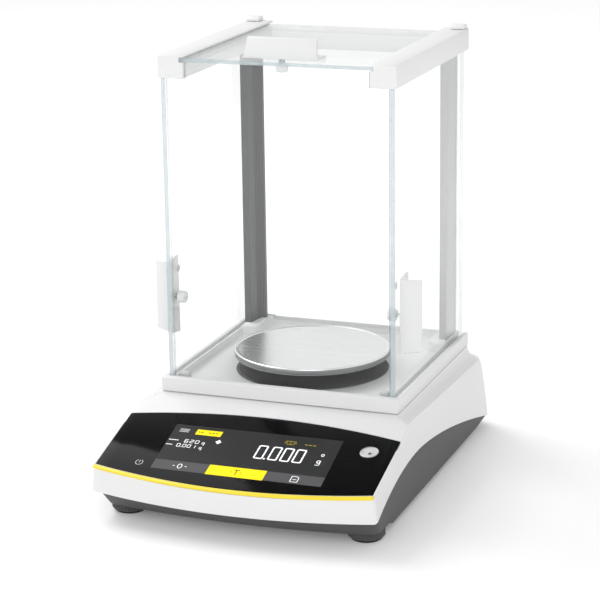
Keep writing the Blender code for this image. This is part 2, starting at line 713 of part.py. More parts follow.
def make_side_door(side, word):
    low_x, high_x = sorted((side * (DOOR_OUTER_X - GLASS), side * DOOR_OUTER_X))
    pivot = (side * DOOR_OUTER_X, DOOR_FRONT, HANDLE_MID_Z)
    low = (low_x, DOOR_FRONT, SHIELD_TOP_Z - DOOR_SINK)
    high = (high_x, DOOR_FRONT + DOOR_LENGTH, RAIL_TOP_Z - RAIL_HEIGHT + SLOT_DEPTH - GAP)
    door = box(f"side_door_{word}", low, high, clear_glass(), pivot)
    cut_rods(door, ((side * DOOR_OUTER_X, DOOR_FRONT + HANDLE_BACK + 4.0, HANDLE_MID_Z), 2.4, 20, "X"))


def make_top_door():
    half = RAIL_OUTER_X - RAIL_WIDTH + SLOT_DEPTH - GAP
    door = box("top_door", (-half, DOOR_FRONT, TOP_GLASS_Z),
               (half, DOOR_FRONT + DOOR_LENGTH, TOP_GLASS_Z + 3.0), clear_glass(),
               (0, DOOR_FRONT, TOP_GLASS_Z))
    cut_rods(door, ((0, DOOR_FRONT + HANDLE_BACK + 4.0, TOP_GLASS_Z), 2.4, 20, "Z"))


def handle_profile():
    """Section of a handle, (out from the glass, back from its front face): flange and curved fin."""
    fin = [(HANDLE_REACH * part, 5.0 * part ** 2) for part in np.linspace(0, 1, 6)]
    back = [(HANDLE_REACH * part, 5.0 * part ** 2 + HANDLE_THICK) for part in np.linspace(1, 0.25, 5)]
    flange = [(HANDLE_THICK + 0.4, 5.0), (HANDLE_THICK, HANDLE_FLANGE), (0, HANDLE_FLANGE)]
    return [(float(a), float(b)) for a, b in fin + back + flange]


def make_handle(name, face, along, out, pivot):
    """A finger grip with slanted ends; face is its middle on the glass, along its length, out its fin."""
    along, out = Vector(along), Vector(out)
    back = Vector((0, 1, 0))
    bm = bmesh.new()
    rings = []
    for end in (-1, 1):
        ring = []
        for reach, depth in handle_profile():
            length = HANDLE_LENGTH / 2 - 4.5 * reach / HANDLE_REACH
            ring.append(Vector(face) + out * (reach + GAP) + back * depth + along * (end * length))
        rings.append(ring)
    loft(bm, rings)
    bevel(add_object(name, bm, white_plastic(), pivot), 0.5, 1, 50)


def make_handles():
    """The same grip on each door, held through the glass by a round knob on the inner face."""
    middle_y = DOOR_FRONT + HANDLE_BACK
    for side, word in ((LEFT, "left"), (RIGHT, "right")):
        pivot = (side * DOOR_OUTER_X, DOOR_FRONT, HANDLE_MID_Z)
        make_handle(f"side_door_handle_{word}", (side * DOOR_OUTER_X, middle_y, HANDLE_MID_Z),
                    (0, 0, 1), (side, 0, 0), pivot)
        inner = DOOR_OUTER_X - GLASS - GAP
        knob = rod(f"side_door_knob_{word}", (side * (inner - 2.9), middle_y + 4.0, HANDLE_MID_Z), 4.6, 5.8,
                   white_plastic(), "X", 20, pivot, 0.6)
        add_rods(knob, ((side * (inner + 0.5), middle_y + 4.0, HANDLE_MID_Z), 2.0, 5.0, "X"))
    pivot = (0, DOOR_FRONT, TOP_GLASS_Z)
    make_handle("top_door_handle", (0, middle_y, TOP_GLASS_Z + 3.0), (1, 0, 0), (0, 0, 1), pivot)
    knob = rod("top_door_knob", (0, middle_y + 4.0, TOP_GLASS_Z - GAP - 2.9), 4.6, 5.8,
               white_plastic(), "Z", 20, pivot, 0.6)
    add_rods(knob, ((0, middle_y + 4.0, TOP_GLASS_Z), 2.0, 4.0, "Z"))


def make_pane_clips():
    """Small clips on the tray's floor that hold the front pane's lower corners."""
    for side, word in ((LEFT, "left"), (RIGHT, "right")):
        low_x, high_x = sorted((side * 82.5, side * 75.5))
        clip = box(f"pane_clip_{word}", (low_x, RIM_INNER_FRONT + 0.4, TRAY_FLOOR_Z + GAP),
                   (high_x, RIM_INNER_FRONT + 7.4, SHIELD_TOP_Z + 2.2),
                   material("grey_plastic", (0.45, 0.45, 0.45), 0.5))
        bevel(clip, 2.0, 2)


# ---- assembly ----------------------------------------------------------------
def make_balance():
    make_base_tub()
    make_top_cover()
    make_control_panel()
    make_display_module()
    trim_form("trim_strip", 0.0, material("yellow_trim", (0.9, 0.72, 0.01), 0.4))
    make_level()
    make_load_cell()
    make_load_receiver()
    make_boards()
    make_connectors()
    make_housing_screws()
    make_pan()
    make_shield_tray()
    make_crossbeam()
    make_front_pane()
    make_rear_pane()
    make_top_door()
    make_handles()
    make_pane_clips()
    for side, word in ((LEFT, "left"), (RIGHT, "right")):
        make_front_foot(side, word)
        make_rear_foot(side, word)
        make_pillar(side, word)
        make_rail(side, word)
        make_rail_cap(side, word)
        make_side_door(side, word)


make_balance()
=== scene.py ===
import json
import math

import bmesh
import bpy
from mathutils import Matrix, Vector

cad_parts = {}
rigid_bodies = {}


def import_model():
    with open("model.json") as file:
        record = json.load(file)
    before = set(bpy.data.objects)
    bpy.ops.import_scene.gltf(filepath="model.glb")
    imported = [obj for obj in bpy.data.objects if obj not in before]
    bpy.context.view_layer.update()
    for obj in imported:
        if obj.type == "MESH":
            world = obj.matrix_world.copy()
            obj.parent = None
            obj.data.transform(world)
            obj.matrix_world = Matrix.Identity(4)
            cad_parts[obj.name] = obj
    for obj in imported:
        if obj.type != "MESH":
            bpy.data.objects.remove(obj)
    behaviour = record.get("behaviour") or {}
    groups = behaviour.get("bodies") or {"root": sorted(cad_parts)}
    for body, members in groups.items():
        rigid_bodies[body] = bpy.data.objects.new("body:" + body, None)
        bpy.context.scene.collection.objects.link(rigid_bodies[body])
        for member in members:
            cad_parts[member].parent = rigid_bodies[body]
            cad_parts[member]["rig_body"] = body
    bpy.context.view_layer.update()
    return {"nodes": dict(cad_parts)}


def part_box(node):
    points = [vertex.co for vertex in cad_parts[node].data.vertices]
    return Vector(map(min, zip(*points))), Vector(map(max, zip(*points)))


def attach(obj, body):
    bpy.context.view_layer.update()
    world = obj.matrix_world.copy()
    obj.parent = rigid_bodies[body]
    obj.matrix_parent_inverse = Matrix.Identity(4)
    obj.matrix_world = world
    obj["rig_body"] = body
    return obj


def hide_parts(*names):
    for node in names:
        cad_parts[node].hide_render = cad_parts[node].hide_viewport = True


# The looks of the analytical balance: fine housing shells, glass, brushed metals, the lit
# display and the small fittings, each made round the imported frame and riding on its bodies.
# Places and sizes below are in millimetres, in the frame's own axes.

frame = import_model()

MM = 0.001
TO_MM = 1 / MM


def reach(node):
    """Lowest and highest corner of a frame node, in millimetres."""
    low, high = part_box(node)
    return low * TO_MM, high * TO_MM


# ---- places read from the frame ------------------------------------------------
PAN_LOW, PAN_HIGH = reach("weighing_pan")
DOOR_LOW, DOOR_HIGH = reach("side_door_right")
VIAL_LOW, VIAL_HIGH = reach("level_vial")

HALF_WIDTH = 109.5
REAR = reach("top_cover")[1].y
FRONT_BOW = 12.8
CORNER_Y = -REAR + FRONT_BOW
WALL = 2.4
DECK_Z = 70.0
SLOPE_FOOT_Z = 42.5
SLOPE_TOP_Y = -49.0
SLOPE_RISE = (DECK_Z - SLOPE_FOOT_Z) / (SLOPE_TOP_Y - CORNER_Y)
SLOPE_NORMAL = Vector((0, -SLOPE_RISE, 1)).normalized()
PANEL_HALF_WIDTH = 105.2
PANEL_TOP_Y = -80.0
PANEL_FOOT_Y = -143.2
PANEL_BOW = 11.3
STRIP_THICK = 1.8
STRIP_DEPTH = 3.0
MARK_LIFT = 0.09
MARK_THICK = 0.03
BEHIND_EDGE = 9.5          # from a door's front edge to its grip
NUT_BEHIND_GRIP = 4.0
GRIP_Z = 139.5
PAN_Y = (PAN_LOW.y + PAN_HIGH.y) / 2
LEVEL_X = (VIAL_LOW.x + VIAL_HIGH.x) / 2
LEVEL_Y = (VIAL_LOW.y + VIAL_HIGH.y) / 2

LEFT, RIGHT = -1, 1
SIDES = ((LEFT, "left"), (RIGHT, "right"))


# ---- finishes ------------------------------------------------------------------
class Value:
    """A socket that is worked with as a number: an expression on it adds its Math nodes."""

    def __init__(self, finish, socket):
        self.finish = finish
        self.socket = socket

    def math(self, operation, *inputs):
        return self.finish.node("Math", {"operation": operation}, dict(enumerate(inputs)))

    def __add__(self, other):
        return self.math("ADD", self, other)

    def __sub__(self, other):
        return self.math("SUBTRACT", self, other)

    def __rsub__(self, other):
        return self.math("SUBTRACT", other, self)

    def __mul__(self, other):
        return self.math("MULTIPLY", self, other)

    def __pow__(self, other):
        return self.math("POWER", self, other)

    def __rpow__(self, other):
        return self.math("POWER", other, self)

    def __gt__(self, other):
        return self.math("GREATER_THAN", self, other)

    def __lt__(self, other):
        return self.math("LESS_THAN", self, other)

    __radd__ = __add__
    __rmul__ = __mul__

    def limited(self, low=0.0, high=1.0):
        return self.math("MINIMUM", self.math("MAXIMUM", self, low), high)


class Finish:
    """A Principled material being built; fixed numbers go straight onto its sockets."""

    def __init__(self, name, **fixed):
        self.material = bpy.data.materials.new(name)
        self.material.use_nodes = True
        self.tree = self.material.node_tree
        self.shader = self.tree.nodes["Principled BSDF"]
        for words, value in fixed.items():
            socket = self.shader.inputs[words.replace("_", " ").title().replace("Ior", "IOR")]
            socket.default_value = (*value, 1.0) if isinstance(value, tuple) else value

    def feed(self, socket, value):
        if isinstance(value, Value):
            self.tree.links.new(value.socket, socket)
        elif isinstance(value, tuple) and len(value) == 3 and socket.type == "RGBA":
            socket.default_value = (*value, 1.0)
        else:
            socket.default_value = value

    def node(self, kind, settings=None, inputs=None, output=0):
        """Add a node of a kind, with its settings first and then its sockets; gives an output."""
        made = self.tree.nodes.new("ShaderNode" + kind)
        for name, value in (settings or {}).items():
            if name == "stops":
                stops = made.color_ramp.elements
                while len(stops) < len(value):
                    stops.new(1.0)
                for stop, (place, colour) in zip(stops, value):
                    stop.position = place
                    stop.color = (*colour, 1.0)
            else:
                setattr(made, name, value)
        for name, value in (inputs or {}).items():
            self.feed(made.inputs[name], value)
        return Value(self, made.outputs[output])

    def place(self, stretch=(1.0, 1.0, 1.0)):
        """Object coordinates, stretched along the axes."""
        here = self.node("TexCoord", output="Object")
        return self.node("Mapping", None, {"Vector": here, "Scale": stretch})

    def noise(self, scale, stretch=(1.0, 1.0, 1.0), detail=2.0, rough=0.5):
        return self.node("TexNoise", None, {"Vector": self.place(stretch), "Scale": scale,
                                            "Detail": detail, "Roughness": rough})

    def mixed(self, factor, first, second):
        """A colour between two colours."""
        return self.node("Mix", {"data_type": "RGBA"}, {0: factor, 6: first, 7: second}, output=2)

    def paint(self, socket, value):
        self.feed(self.shader.inputs[socket], value)
        return self

    def bump(self, height, strength, depth):
        """A relief of this depth in millimetres, from a height between 0 and 1."""
        normal = self.node("Bump", None, {"Height": height, "Strength": strength,
                                          "Distance": depth * MM})
        return self.paint("Normal", normal)


def moulding(name, colour, rough, grain=0.03, depth=0.02):
    """Injection-moulded plastic: a fine spark-eroded grain and a faint unevenness in tone."""
    finish = Finish(name, specular_ior_level=0.45)
    cloud = finish.noise(14, detail=3.0)
    speck = finish.noise(2600, detail=2.0)
    darker = tuple(part * (1 - grain) for part in colour)
    finish.paint("Base Color", finish.mixed((cloud * 0.7 + speck * 0.3).limited(), darker, colour))
    finish.paint("Roughness", rough - 0.05 + cloud * 0.06 + speck * 0.05)
    return finish.bump(finish.noise(1500, detail=3.0, rough=0.6), 0.25, depth).material


def brushed(name, colour, rough, along, depth=0.008, contrast=0.16):
    """Brushed metal: long fine scratches along one axis (0 for X, 1 for Y, 2 for Z)."""
    finish = Finish(name, metallic=1.0)
    fine = tuple(0.02 if axis == along else 1.0 for axis in range(3))
    scratch = finish.noise(1500, fine, detail=4.0, rough=0.65)
    patch = finish.noise(260, fine, detail=2.0)
    darker = tuple(part * (1 - contrast) for part in colour)
    finish.paint("Base Color", finish.mixed((scratch * 0.6 + patch * 0.4).limited(), darker, colour))
    finish.paint("Roughness", rough - 0.06 + scratch * 0.12)
    return finish.bump(scratch, 0.35, depth).material


def glass_face():
    """Clear pane: see-through face on, and a mirror at a glancing angle."""
    finish = Finish("clear_pane")
    facing = finish.node("LayerWeight", None, {"Blend": 0.5}, output="Facing")
    smear = finish.noise(18, detail=3.0)
    share = (facing ** 5.0) * 0.9 + 0.016 + smear * 0.006
    clear = finish.tree.nodes.new("ShaderNodeBsdfTransparent")
    clear.inputs["Color"].default_value = (0.996, 0.999, 0.998, 1)
    finish.shader.inputs["Base Color"].default_value = (0.96, 0.97, 0.97, 1)
    finish.shader.inputs["Metallic"].default_value = 1.0
    finish.paint("Roughness", 0.015 + smear * 0.02)
    mix = finish.tree.nodes.new("ShaderNodeMixShader")
    finish.feed(mix.inputs[0], share.limited())
    finish.tree.links.new(clear.outputs[0], mix.inputs[1])
    finish.tree.links.new(finish.shader.outputs[0], mix.inputs[2])
    finish.tree.links.new(mix.outputs[0], finish.tree.nodes["Material Output"].inputs[0])
    return finish.material


def glass_edge(name, dull, bright, cover):
    """An edge of a pane: the glass's own pale tint, with painted light and shade on it; cover is how solid
    it looks.
    """
    finish = Finish(name, specular_ior_level=0.5)
    streak = finish.noise(90, (1.0, 1.0, 0.35), detail=3.0)
    finish.paint("Base Color", finish.mixed(streak.limited(), dull, bright))
    finish.paint("Roughness", 0.18 + streak * 0.2)
    finish.paint("Alpha", (streak * 0.3 + cover).limited())
    return finish.material


def black_glass():
    """The panel's glass, printed black behind; hardly any dust on it."""
    finish = Finish("panel_glass", specular_ior_level=0.045)
    dust = finish.noise(9000, detail=2.0) > 0.79
    wipe = finish.noise(40, (1.0, 3.0, 1.0), detail=3.0)
    finish.paint("Base Color", finish.mixed(dust * 0.25, (0.0035, 0.0035, 0.004), (0.03, 0.03, 0.03)))
    return finish.paint("Roughness", 0.05 + wipe * 0.07).material


def lit(name, colour, glow, cell=0.45):
    """A lit area of the display: a fine grid of picture cells over an even glow."""
    finish = Finish(name, roughness=0.3, specular_ior_level=0.1, emission_strength=glow)
    cells = finish.node("TexVoronoi", {"feature": "F1", "distance": "CHEBYCHEV"},
                        {"Vector": finish.place(), "Scale": TO_MM / cell, "Randomness": 0.0})
    shade = (1.06 - cells * 0.25).limited()
    dim = tuple(part * 0.72 for part in colour)
    finish.paint("Base Color", finish.mixed(shade, (0, 0, 0), tuple(part * 0.4 for part in colour)))
    return finish.paint("Emission Color", finish.mixed(shade, dim, colour)).material


def yellow_gloss():
    finish = Finish("yellow_trim", specular_ior_level=0.5)
    cloud = finish.noise(30, detail=3.0)
    finish.paint("Base Color", finish.mixed(cloud, (0.86, 0.66, 0.022), (0.93, 0.75, 0.032)))
    finish.paint("Roughness", 0.3 + cloud * 0.1)
    return finish.bump(finish.noise(1800, detail=2.0), 0.12, 0.01).material


def rubbery():
    finish = Finish("rubber", specular_ior_level=0.3)
    bloom = finish.noise(120, detail=5.0)
    finish.paint("Base Color", finish.mixed(bloom, (0.012, 0.012, 0.012), (0.04, 0.04, 0.04)))
    finish.paint("Roughness", 0.75 + bloom * 0.2)
    return finish.bump(finish.noise(900, detail=3.0), 0.4, 0.05).material


def lacquered_board():
    """Green solder mask with faint copper runs under it."""
    finish = Finish("circuit_board", specular_ior_level=0.5)
    runs = finish.node("TexWave", {"bands_direction": "X"},
                       {"Vector": finish.place(), "Scale": 260.0, "Distortion": 3.0, "Detail": 1.0})
    finish.paint("Base Color", finish.mixed(runs > 0.72, (0.008, 0.075, 0.03), (0.02, 0.15, 0.06)))
    return finish.paint("Roughness", 0.35 + runs * 0.1).material


WHITE = moulding("white_moulding", (0.79, 0.79, 0.795), 0.40)
GREY = moulding("grey_moulding", (0.60, 0.60, 0.605), 0.45)
DARK = moulding("dark_moulding", (0.088, 0.088, 0.092), 0.55, grain=0.25, depth=0.05)
# Near-black for the pan support and the level's bubble; on the disc under the pan it stands for the pan's
# shadow on the tray, a painted shadow.
DARK_AND_PAINTED_SHADOW = moulding("near_black_and_painted_shadow", (0.05, 0.05, 0.052), 0.6, grain=0.2)
BLACK = moulding("socket_moulding", (0.02, 0.02, 0.021), 0.5, grain=0.3)
STEEL = brushed("brushed_steel", (0.93, 0.93, 0.935), 0.26, along=0, contrast=0.12)
# A darker copy of the pan's steel for its upright rim faces: painted shade on the rim's sides.
RIM_STEEL_PAINTED_SHADE = brushed("rim_steel_painted_shade", (0.34, 0.34, 0.345), 0.34, along=0, contrast=0.3)
ZINC = brushed("zinc_steel", (0.62, 0.62, 0.60), 0.32, along=0)
# One aluminium in two copies that differ only by painted light: the left pillar's copy is darker as painted
# shade, the right pillar's lighter as painted glare of the side glass over it.
ALUMINIUM_PAINTED_BY_SIDE = {LEFT: brushed("pillar_aluminium_left_painted_shade", (0.19, 0.19, 0.194), 0.42, along=2, contrast=0.22),
             RIGHT: brushed("pillar_aluminium_right_painted_glare", (0.40, 0.40, 0.405), 0.42, along=2, contrast=0.14)}
CAST = brushed("cell_aluminium", (0.66, 0.67, 0.68), 0.42, along=1)
PANE = glass_face()
# Three copies of the pane edge: painted light on edges facing ahead, painted shade on the slanting arrises,
# and a faint copy on edges facing away.
PANE_EDGE_PAINTED_LIGHT = glass_edge("pane_edge_tint_painted_light", (0.36, 0.45, 0.48), (0.58, 0.66, 0.69), 0.55)
PANE_ARRIS_PAINTED_SHADE = glass_edge("pane_arris_painted_shade", (0.06, 0.10, 0.11), (0.16, 0.22, 0.23), 0.60)
PANE_REAR_PAINTED_FAINT = glass_edge("pane_rear_edge_painted_faint", (0.22, 0.24, 0.24), (0.42, 0.44, 0.44), 0.14)
PANEL = black_glass()
SCREEN = lit("screen_glow", (0.0205, 0.0205, 0.0215), 1.0)
KEY_GREY = lit("key_grey", (0.074, 0.074, 0.077), 1.0)
KEY_YELLOW = lit("key_yellow", (0.90, 0.72, 0.008), 1.0)
MARK_WHITE = lit("mark_white", (0.93, 0.93, 0.93), 1.0, cell=0.3)
MARK_GREY = lit("mark_grey", (0.46, 0.46, 0.46), 1.0, cell=0.3)
MARK_AMBER = lit("mark_amber", (0.36, 0.29, 0.02), 1.0, cell=0.3)
MARK_DARK = lit("mark_dark", (0.05, 0.04, 0.005), 1.0, cell=0.3)
YELLOW = yellow_gloss()
RUBBER = rubbery()
BOARD = lacquered_board()


# ---- modelling helpers ---------------------------------------------------------
def piece(name, bm, finishes, body="housing", stands_for=(), sharp=32):
    """Make a finished piece from a bmesh drawn in millimetres, riding on a body."""
    bmesh.ops.remove_doubles(bm, verts=bm.verts, dist=0.002)
    bmesh.ops.recalc_face_normals(bm, faces=bm.faces)
    bmesh.ops.scale(bm, verts=bm.verts, vec=(MM, MM, MM))
    mesh = bpy.data.meshes.new(name)
    bm.to_mesh(mesh)
    bm.free()
    for finish in finishes if isinstance(finishes, (list, tuple)) else [finishes]:
        mesh.materials.append(finish)
    mesh.shade_smooth()
    mesh.set_sharp_from_angle(angle=math.radians(sharp))
    obj = bpy.data.objects.new(name, mesh)
    bpy.context.scene.collection.objects.link(obj)
    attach(obj, body)
    if stands_for:
        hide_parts(*stands_for)
    return obj


def block(bm, low, high):
    low, high = Vector(low), Vector(high)
    size = Matrix.Diagonal((*(high - low), 1))
    bmesh.ops.create_cube(bm, size=1.0, matrix=Matrix.Translation((low + high) / 2) @ size)


def rod(bm, centre, radius, length, sides=40):
    """An upright round rod about its middle."""
    bmesh.ops.create_cone(bm, cap_ends=True, segments=sides, radius1=radius, radius2=radius,
                          depth=length, matrix=Matrix.Translation(centre))


def bevelled(bm, edges, width, segments):
    bmesh.ops.bevel(bm, geom=edges, offset=width, offset_type="OFFSET", segments=segments,
                    profile=0.5, affect="EDGES", clamp_overlap=True, material=-1)


def round_edges(bm, width, segments=2, sharper_than=28, below=math.inf):
    """Round every edge under a height where two faces meet at more than an angle."""
    limit = math.radians(sharper_than)
    edges = [e for e in bm.edges if len(e.link_faces) == 2 and e.calc_face_angle(0) > limit
             and max(vert.co.z for vert in e.verts) < below]
    bevelled(bm, edges, width, segments)


def extruded(bm, points, travel):
    """A flat outline pushed along a direction, closed at both ends."""
    face = bm.faces.new([bm.verts.new(point) for point in points])
    lifted = bmesh.ops.extrude_face_region(bm, geom=[face])["geom"]
    moved = [item for item in lifted if isinstance(item, bmesh.types.BMVert)]
    bmesh.ops.translate(bm, verts=moved, vec=travel)


def turned(bm, profile, centre, steps=96):
    """Spin an open profile of (radius, height) about the vertical through centre."""
    start = [bm.verts.new((centre[0] + radius, centre[1], centre[2] + z)) for radius, z in profile]
    edges = [bm.edges.new(pair) for pair in zip(start, start[1:])]
    bmesh.ops.spin(bm, geom=start + edges, cent=centre, axis=(0, 0, 1), angle=2 * math.pi,
                   steps=steps, use_merge=True)
    bmesh.ops.remove_doubles(bm, verts=bm.verts, dist=0.002)


def ring_of_edges(bm, points):
    verts = [bm.verts.new(point) for point in points]
    return [bm.edges.new((verts[i], verts[(i + 1) % len(verts)])) for i in range(len(verts))]


def bridged(bm, rings, close_first=False, close_last=False):
    """Skin closed rings, each bridged to the next; either end may be closed by a face."""
    loops = [ring_of_edges(bm, ring) for ring in rings]
    for lower, upper in zip(loops, loops[1:]):
        bmesh.ops.bridge_loops(bm, edges=lower + upper)
    for wanted, loop in ((close_first, loops[0]), (close_last, loops[-1])):
        if wanted:
            bmesh.ops.edgeloop_fill(bm, edges=loop)
    return loops


def cut_with(obj, *makers, sharp=26):
    """Cut shapes out of a finished piece; each maker draws one cutter into a bmesh."""
    for make in makers:
        bm = bmesh.new()
        make(bm)
        bmesh.ops.recalc_face_normals(bm, faces=bm.faces)
        bmesh.ops.scale(bm, verts=bm.verts, vec=(MM, MM, MM))
        mesh = bpy.data.meshes.new("cutter")
        bm.to_mesh(mesh)
        bm.free()
        tool = bpy.data.objects.new("cutter", mesh)
        bpy.context.scene.collection.objects.link(tool)
        mod = obj.modifiers.new("cut", "BOOLEAN")
        mod.operation = "DIFFERENCE"
        mod.object = tool
        bpy.context.view_layer.update()
        cut = bpy.data.meshes.new_from_object(obj.evaluated_get(bpy.context.evaluated_depsgraph_get()))
        obj.modifiers.remove(mod)
        bpy.data.objects.remove(tool)
        obj.data = cut
    obj.data.set_sharp_from_angle(angle=math.radians(sharp))
    return obj


def rounded_copy(node, name, finishes, width=0.3, segments=2, sharp=32, below=math.inf):
    """A frame node's own shape with every sharp edge rounded, standing for the node."""
    source = frame["nodes"][node]
    bm = bmesh.new()
    bm.from_mesh(source.data)
    bmesh.ops.scale(bm, verts=bm.verts, vec=(TO_MM,) * 3)
    bmesh.ops.remove_doubles(bm, verts=bm.verts, dist=0.004)
    bmesh.ops.dissolve_limit(bm, angle_limit=math.radians(1.2), verts=bm.verts, edges=bm.edges)
    round_edges(bm, width, segments, below=below)
    for face in bm.faces:
        face.material_index = 0
    return piece(name, bm, finishes, source["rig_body"], [node], sharp)


def dress(node, finish):
    """Give a frame node that stays a better material."""
    slots = frame["nodes"][node].data.materials
    slots.clear()
    slots.append(finish)


# ---- the housing's form --------------------------------------------------------
def blend_rows(rows, t):
    """A smooth curve through rows of numbers; t runs from 0 to 1 over them."""
    spot = t * (len(rows) - 1)
    k = min(int(spot), len(rows) - 2)
    u = spot - k
    before, first, second, after = (rows[min(max(k + step, 0), len(rows) - 1)] for step in (-1, 0, 1, 2))
    return [0.5 * (2 * b + (c - a) * u + (2 * a - 5 * b + 4 * c - d) * u ** 2
                   + (3 * b - a - 3 * c + d) * u ** 3) for a, b, c, d in zip(before, first, second, after)]


def stepped(low, high, count):
    return [low + (high - low) * k / (count - 1) for k in range(count)]


def plan_outline(half_width, front, bow, rear, front_radius, rear_radius):
    """Plan of the housing at one level: bowed front, straight sides, rounded corners."""
    slope = math.atan(2 * bow / half_width)
    end_x = half_width - front_radius * (1 - math.sin(slope))
    points = [(x, front - bow * (1 - (x / half_width) ** 2)) for x in stepped(-end_x, end_x, 41)]
    end_y = points[-1][1] + front_radius * math.cos(slope)
    side = [(half_width - front_radius * (1 - math.cos(turn)), end_y + front_radius * math.sin(turn))
            for turn in stepped(slope - math.pi / 2, 0, 7)[1:]]
    side += [(half_width, y) for y in stepped(end_y, rear - rear_radius, 40)[1:]]
    side += [(half_width - rear_radius * (1 - math.cos(turn)), rear - rear_radius * (1 - math.sin(turn)))
             for turn in stepped(0, math.pi / 2, 13)[1:]]
    return points + side + [(-x, y) for x, y in reversed(side)]


def along_table(value, *rows):
    """Straight-line reading of a table of (value, result)."""
    for (low, first), (high, second) in zip(rows, rows[1:]):
        if value <= high:
            return first + (second - first) * max(value - low, 0) / (high - low)
    return rows[-1][1]


def side_flare(z):
    return along_table(z, (8, 109.5), (14, 109.4), (42, 107.0), (58, 105.4), (66, 104.2))


def rear_lean(z):
    return along_table(z, (8, 157.5), (14, 157.3), (40, 153.5), (60, 149.5))


def slope_height(y):
    return SLOPE_FOOT_Z + SLOPE_RISE * (y - CORNER_Y)


def shoulder_height(y):
    return along_table(y, (-60, 66.5), (140, 60.0))


def parting_height(x, y):
    """The joint between white cover and dark base, arched along the sides."""
    if y < CORNER_Y:
        return 20.7 + 1.6 * (x / HALF_WIDTH) ** 2
    crown_y, crown_z = -42.0, 42.5
    if y < crown_y:
        return crown_z - 20.2 * ((crown_y - y) / (crown_y - CORNER_Y)) ** 2
    return max(crown_z - 36.0 * ((y - crown_y) / (REAR - crown_y)) ** 1.55, 9.5)


def wall_ring(height, inset=0.0):
    ring = []
    for x, y in plan_outline(HALF_WIDTH, CORNER_Y, FRONT_BOW, REAR, 3.6, 21):
        z = height(x, y)
        x *= side_flare(z) / HALF_WIDTH * (HALF_WIDTH - inset) / HALF_WIDTH
        if y > 0:
            y *= rear_lean(z) / REAR
        ring.append((x, y * (REAR - inset) / REAR, z))
    return ring


LEDGE = ((105.2, -78.0, 10.5, 149.8, 20, -0.06), (103.4, -77, 10, 148.6, 19, 0.0),
         (101.2, -75, 9, 146.4, 17, 0.10), (97.2, -70, 6, 141.0, 11, 0.32),
         (94.6, -60, 2, 137.0, 5, 0.72), (93.7, SLOPE_TOP_Y - 1.5, 0, 135.8, 2.5, 1.0))


def cover_rings():
    """From the parting line up the walls, over the soft shoulder to the deck."""
    rings = []
    for part in stepped(0, 1, 7):
        def height(x, y, part=part):
            return parting_height(x, y) * (1 - part) + (shoulder_height(y) - 5.0) * part
        rings.append(wall_ring(height))
    for t in stepped(0.14, 1, 14):
        half_width, front, bow, rear, radius, part = blend_rows(LEDGE, t)
        part = min(part, 1.0)
        rings.append([(x, y, shoulder_height(y) * (1 - part) + DECK_Z * part)
                      for x, y in plan_outline(half_width, front, bow, rear, min(radius, 8), radius)])
    return rings


def on_slope(x, y, lift=0.0):
    return Vector((x, y, slope_height(y))) + SLOPE_NORMAL * lift


def panel_outline(grow=0.0):
    half = PANEL_HALF_WIDTH + grow
    foot = [(x, PANEL_FOOT_Y - grow - PANEL_BOW * (1 - (x / half) ** 2)) for x in stepped(-half, half, 41)]
    top = [(x, PANEL_TOP_Y + grow + PANEL_BOW * (1 - (x / half) ** 2)) for x in stepped(half, -half, 41)]
    return foot + top


def strip_outline(grow=0.0):
    """Plan of the yellow strip along the panel's lower edge."""
    half = PANEL_HALF_WIDTH + 1.2 + grow
    bows = [(x, PANEL_BOW * (1 - (x / half) ** 2)) for x in stepped(-half, half, 41)]
    outer = [(x, PANEL_FOOT_Y - bow - STRIP_DEPTH - grow) for x, bow in bows]
    inner = [(x, PANEL_FOOT_Y - bow - 0.3 + grow * 0.5) for x, bow in bows]
    return outer + inner[::-1]


def meets_slope(vert):
    return abs(vert.co.z - slope_height(vert.co.y)) < 0.01


def make_cover():
    """A moulded shell: lofted outer skin, cut flat along the operating slope, then given its wall."""
    bm = bmesh.new()
    bridged(bm, cover_rings(), close_last=True)
    for vert in bm.verts:
        if abs(vert.co.z - slope_height(vert.co.y)) < 1.5 and vert.co.y < SLOPE_TOP_Y:
            vert.co.z = slope_height(vert.co.y)
    bmesh.ops.bisect_plane(bm, geom=bm.verts[:] + bm.edges[:] + bm.faces[:], dist=0.002,
                           plane_co=(0, SLOPE_TOP_Y, DECK_Z), plane_no=SLOPE_NORMAL, clear_outer=True)
    rim = [e for e in bm.edges if e.is_boundary and all(meets_slope(vert) for vert in e.verts)]
    bmesh.ops.edgeloop_fill(bm, edges=rim)
    bmesh.ops.recalc_face_normals(bm, faces=bm.faces)
    if max(bm.faces, key=lambda face: face.calc_center_median().z).normal.z < 0:
        bmesh.ops.reverse_faces(bm, faces=bm.faces)
    bmesh.ops.solidify(bm, geom=bm.faces[:], thickness=WALL)
    bm.normal_update()
    edges = [e for e in bm.edges if all(meets_slope(vert) for vert in e.verts)
             and len(e.link_faces) == 2 and e.calc_face_angle(0) > math.radians(20)]
    bevelled(bm, edges, 0.8, 3)
    cover = piece("cover_shell", bm, WHITE, "housing", ["top_cover"], sharp=34)

    def pocket(bm):
        bridged(bm, [[on_slope(x, y, -1.6) for x, y in panel_outline(0.25)],
                     [on_slope(x, y, 4) for x, y in panel_outline(0.25)]], True, True)

    def strip(bm):
        outline = strip_outline(0.25)
        bridged(bm, [[(x, y, slope_height(y) - STRIP_THICK - 0.2) for x, y in outline],
                     [(x, y, slope_height(y) + 4) for x, y in outline]], True, True)

    def level_hole(bm):
        rod(bm, (LEVEL_X, LEVEL_Y, slope_height(LEVEL_Y)), 8.5, 14)

    def socket_holes(bm):
        for node in ("power_inlet", "data_socket"):
            low, high = reach(node)
            block(bm, (low.x - 0.3, REAR - 12, low.z - 0.3), (high.x + 0.3, REAR + 4, high.z + 0.3))

    return cut_with(cover, pocket, strip, level_hole, socket_holes)


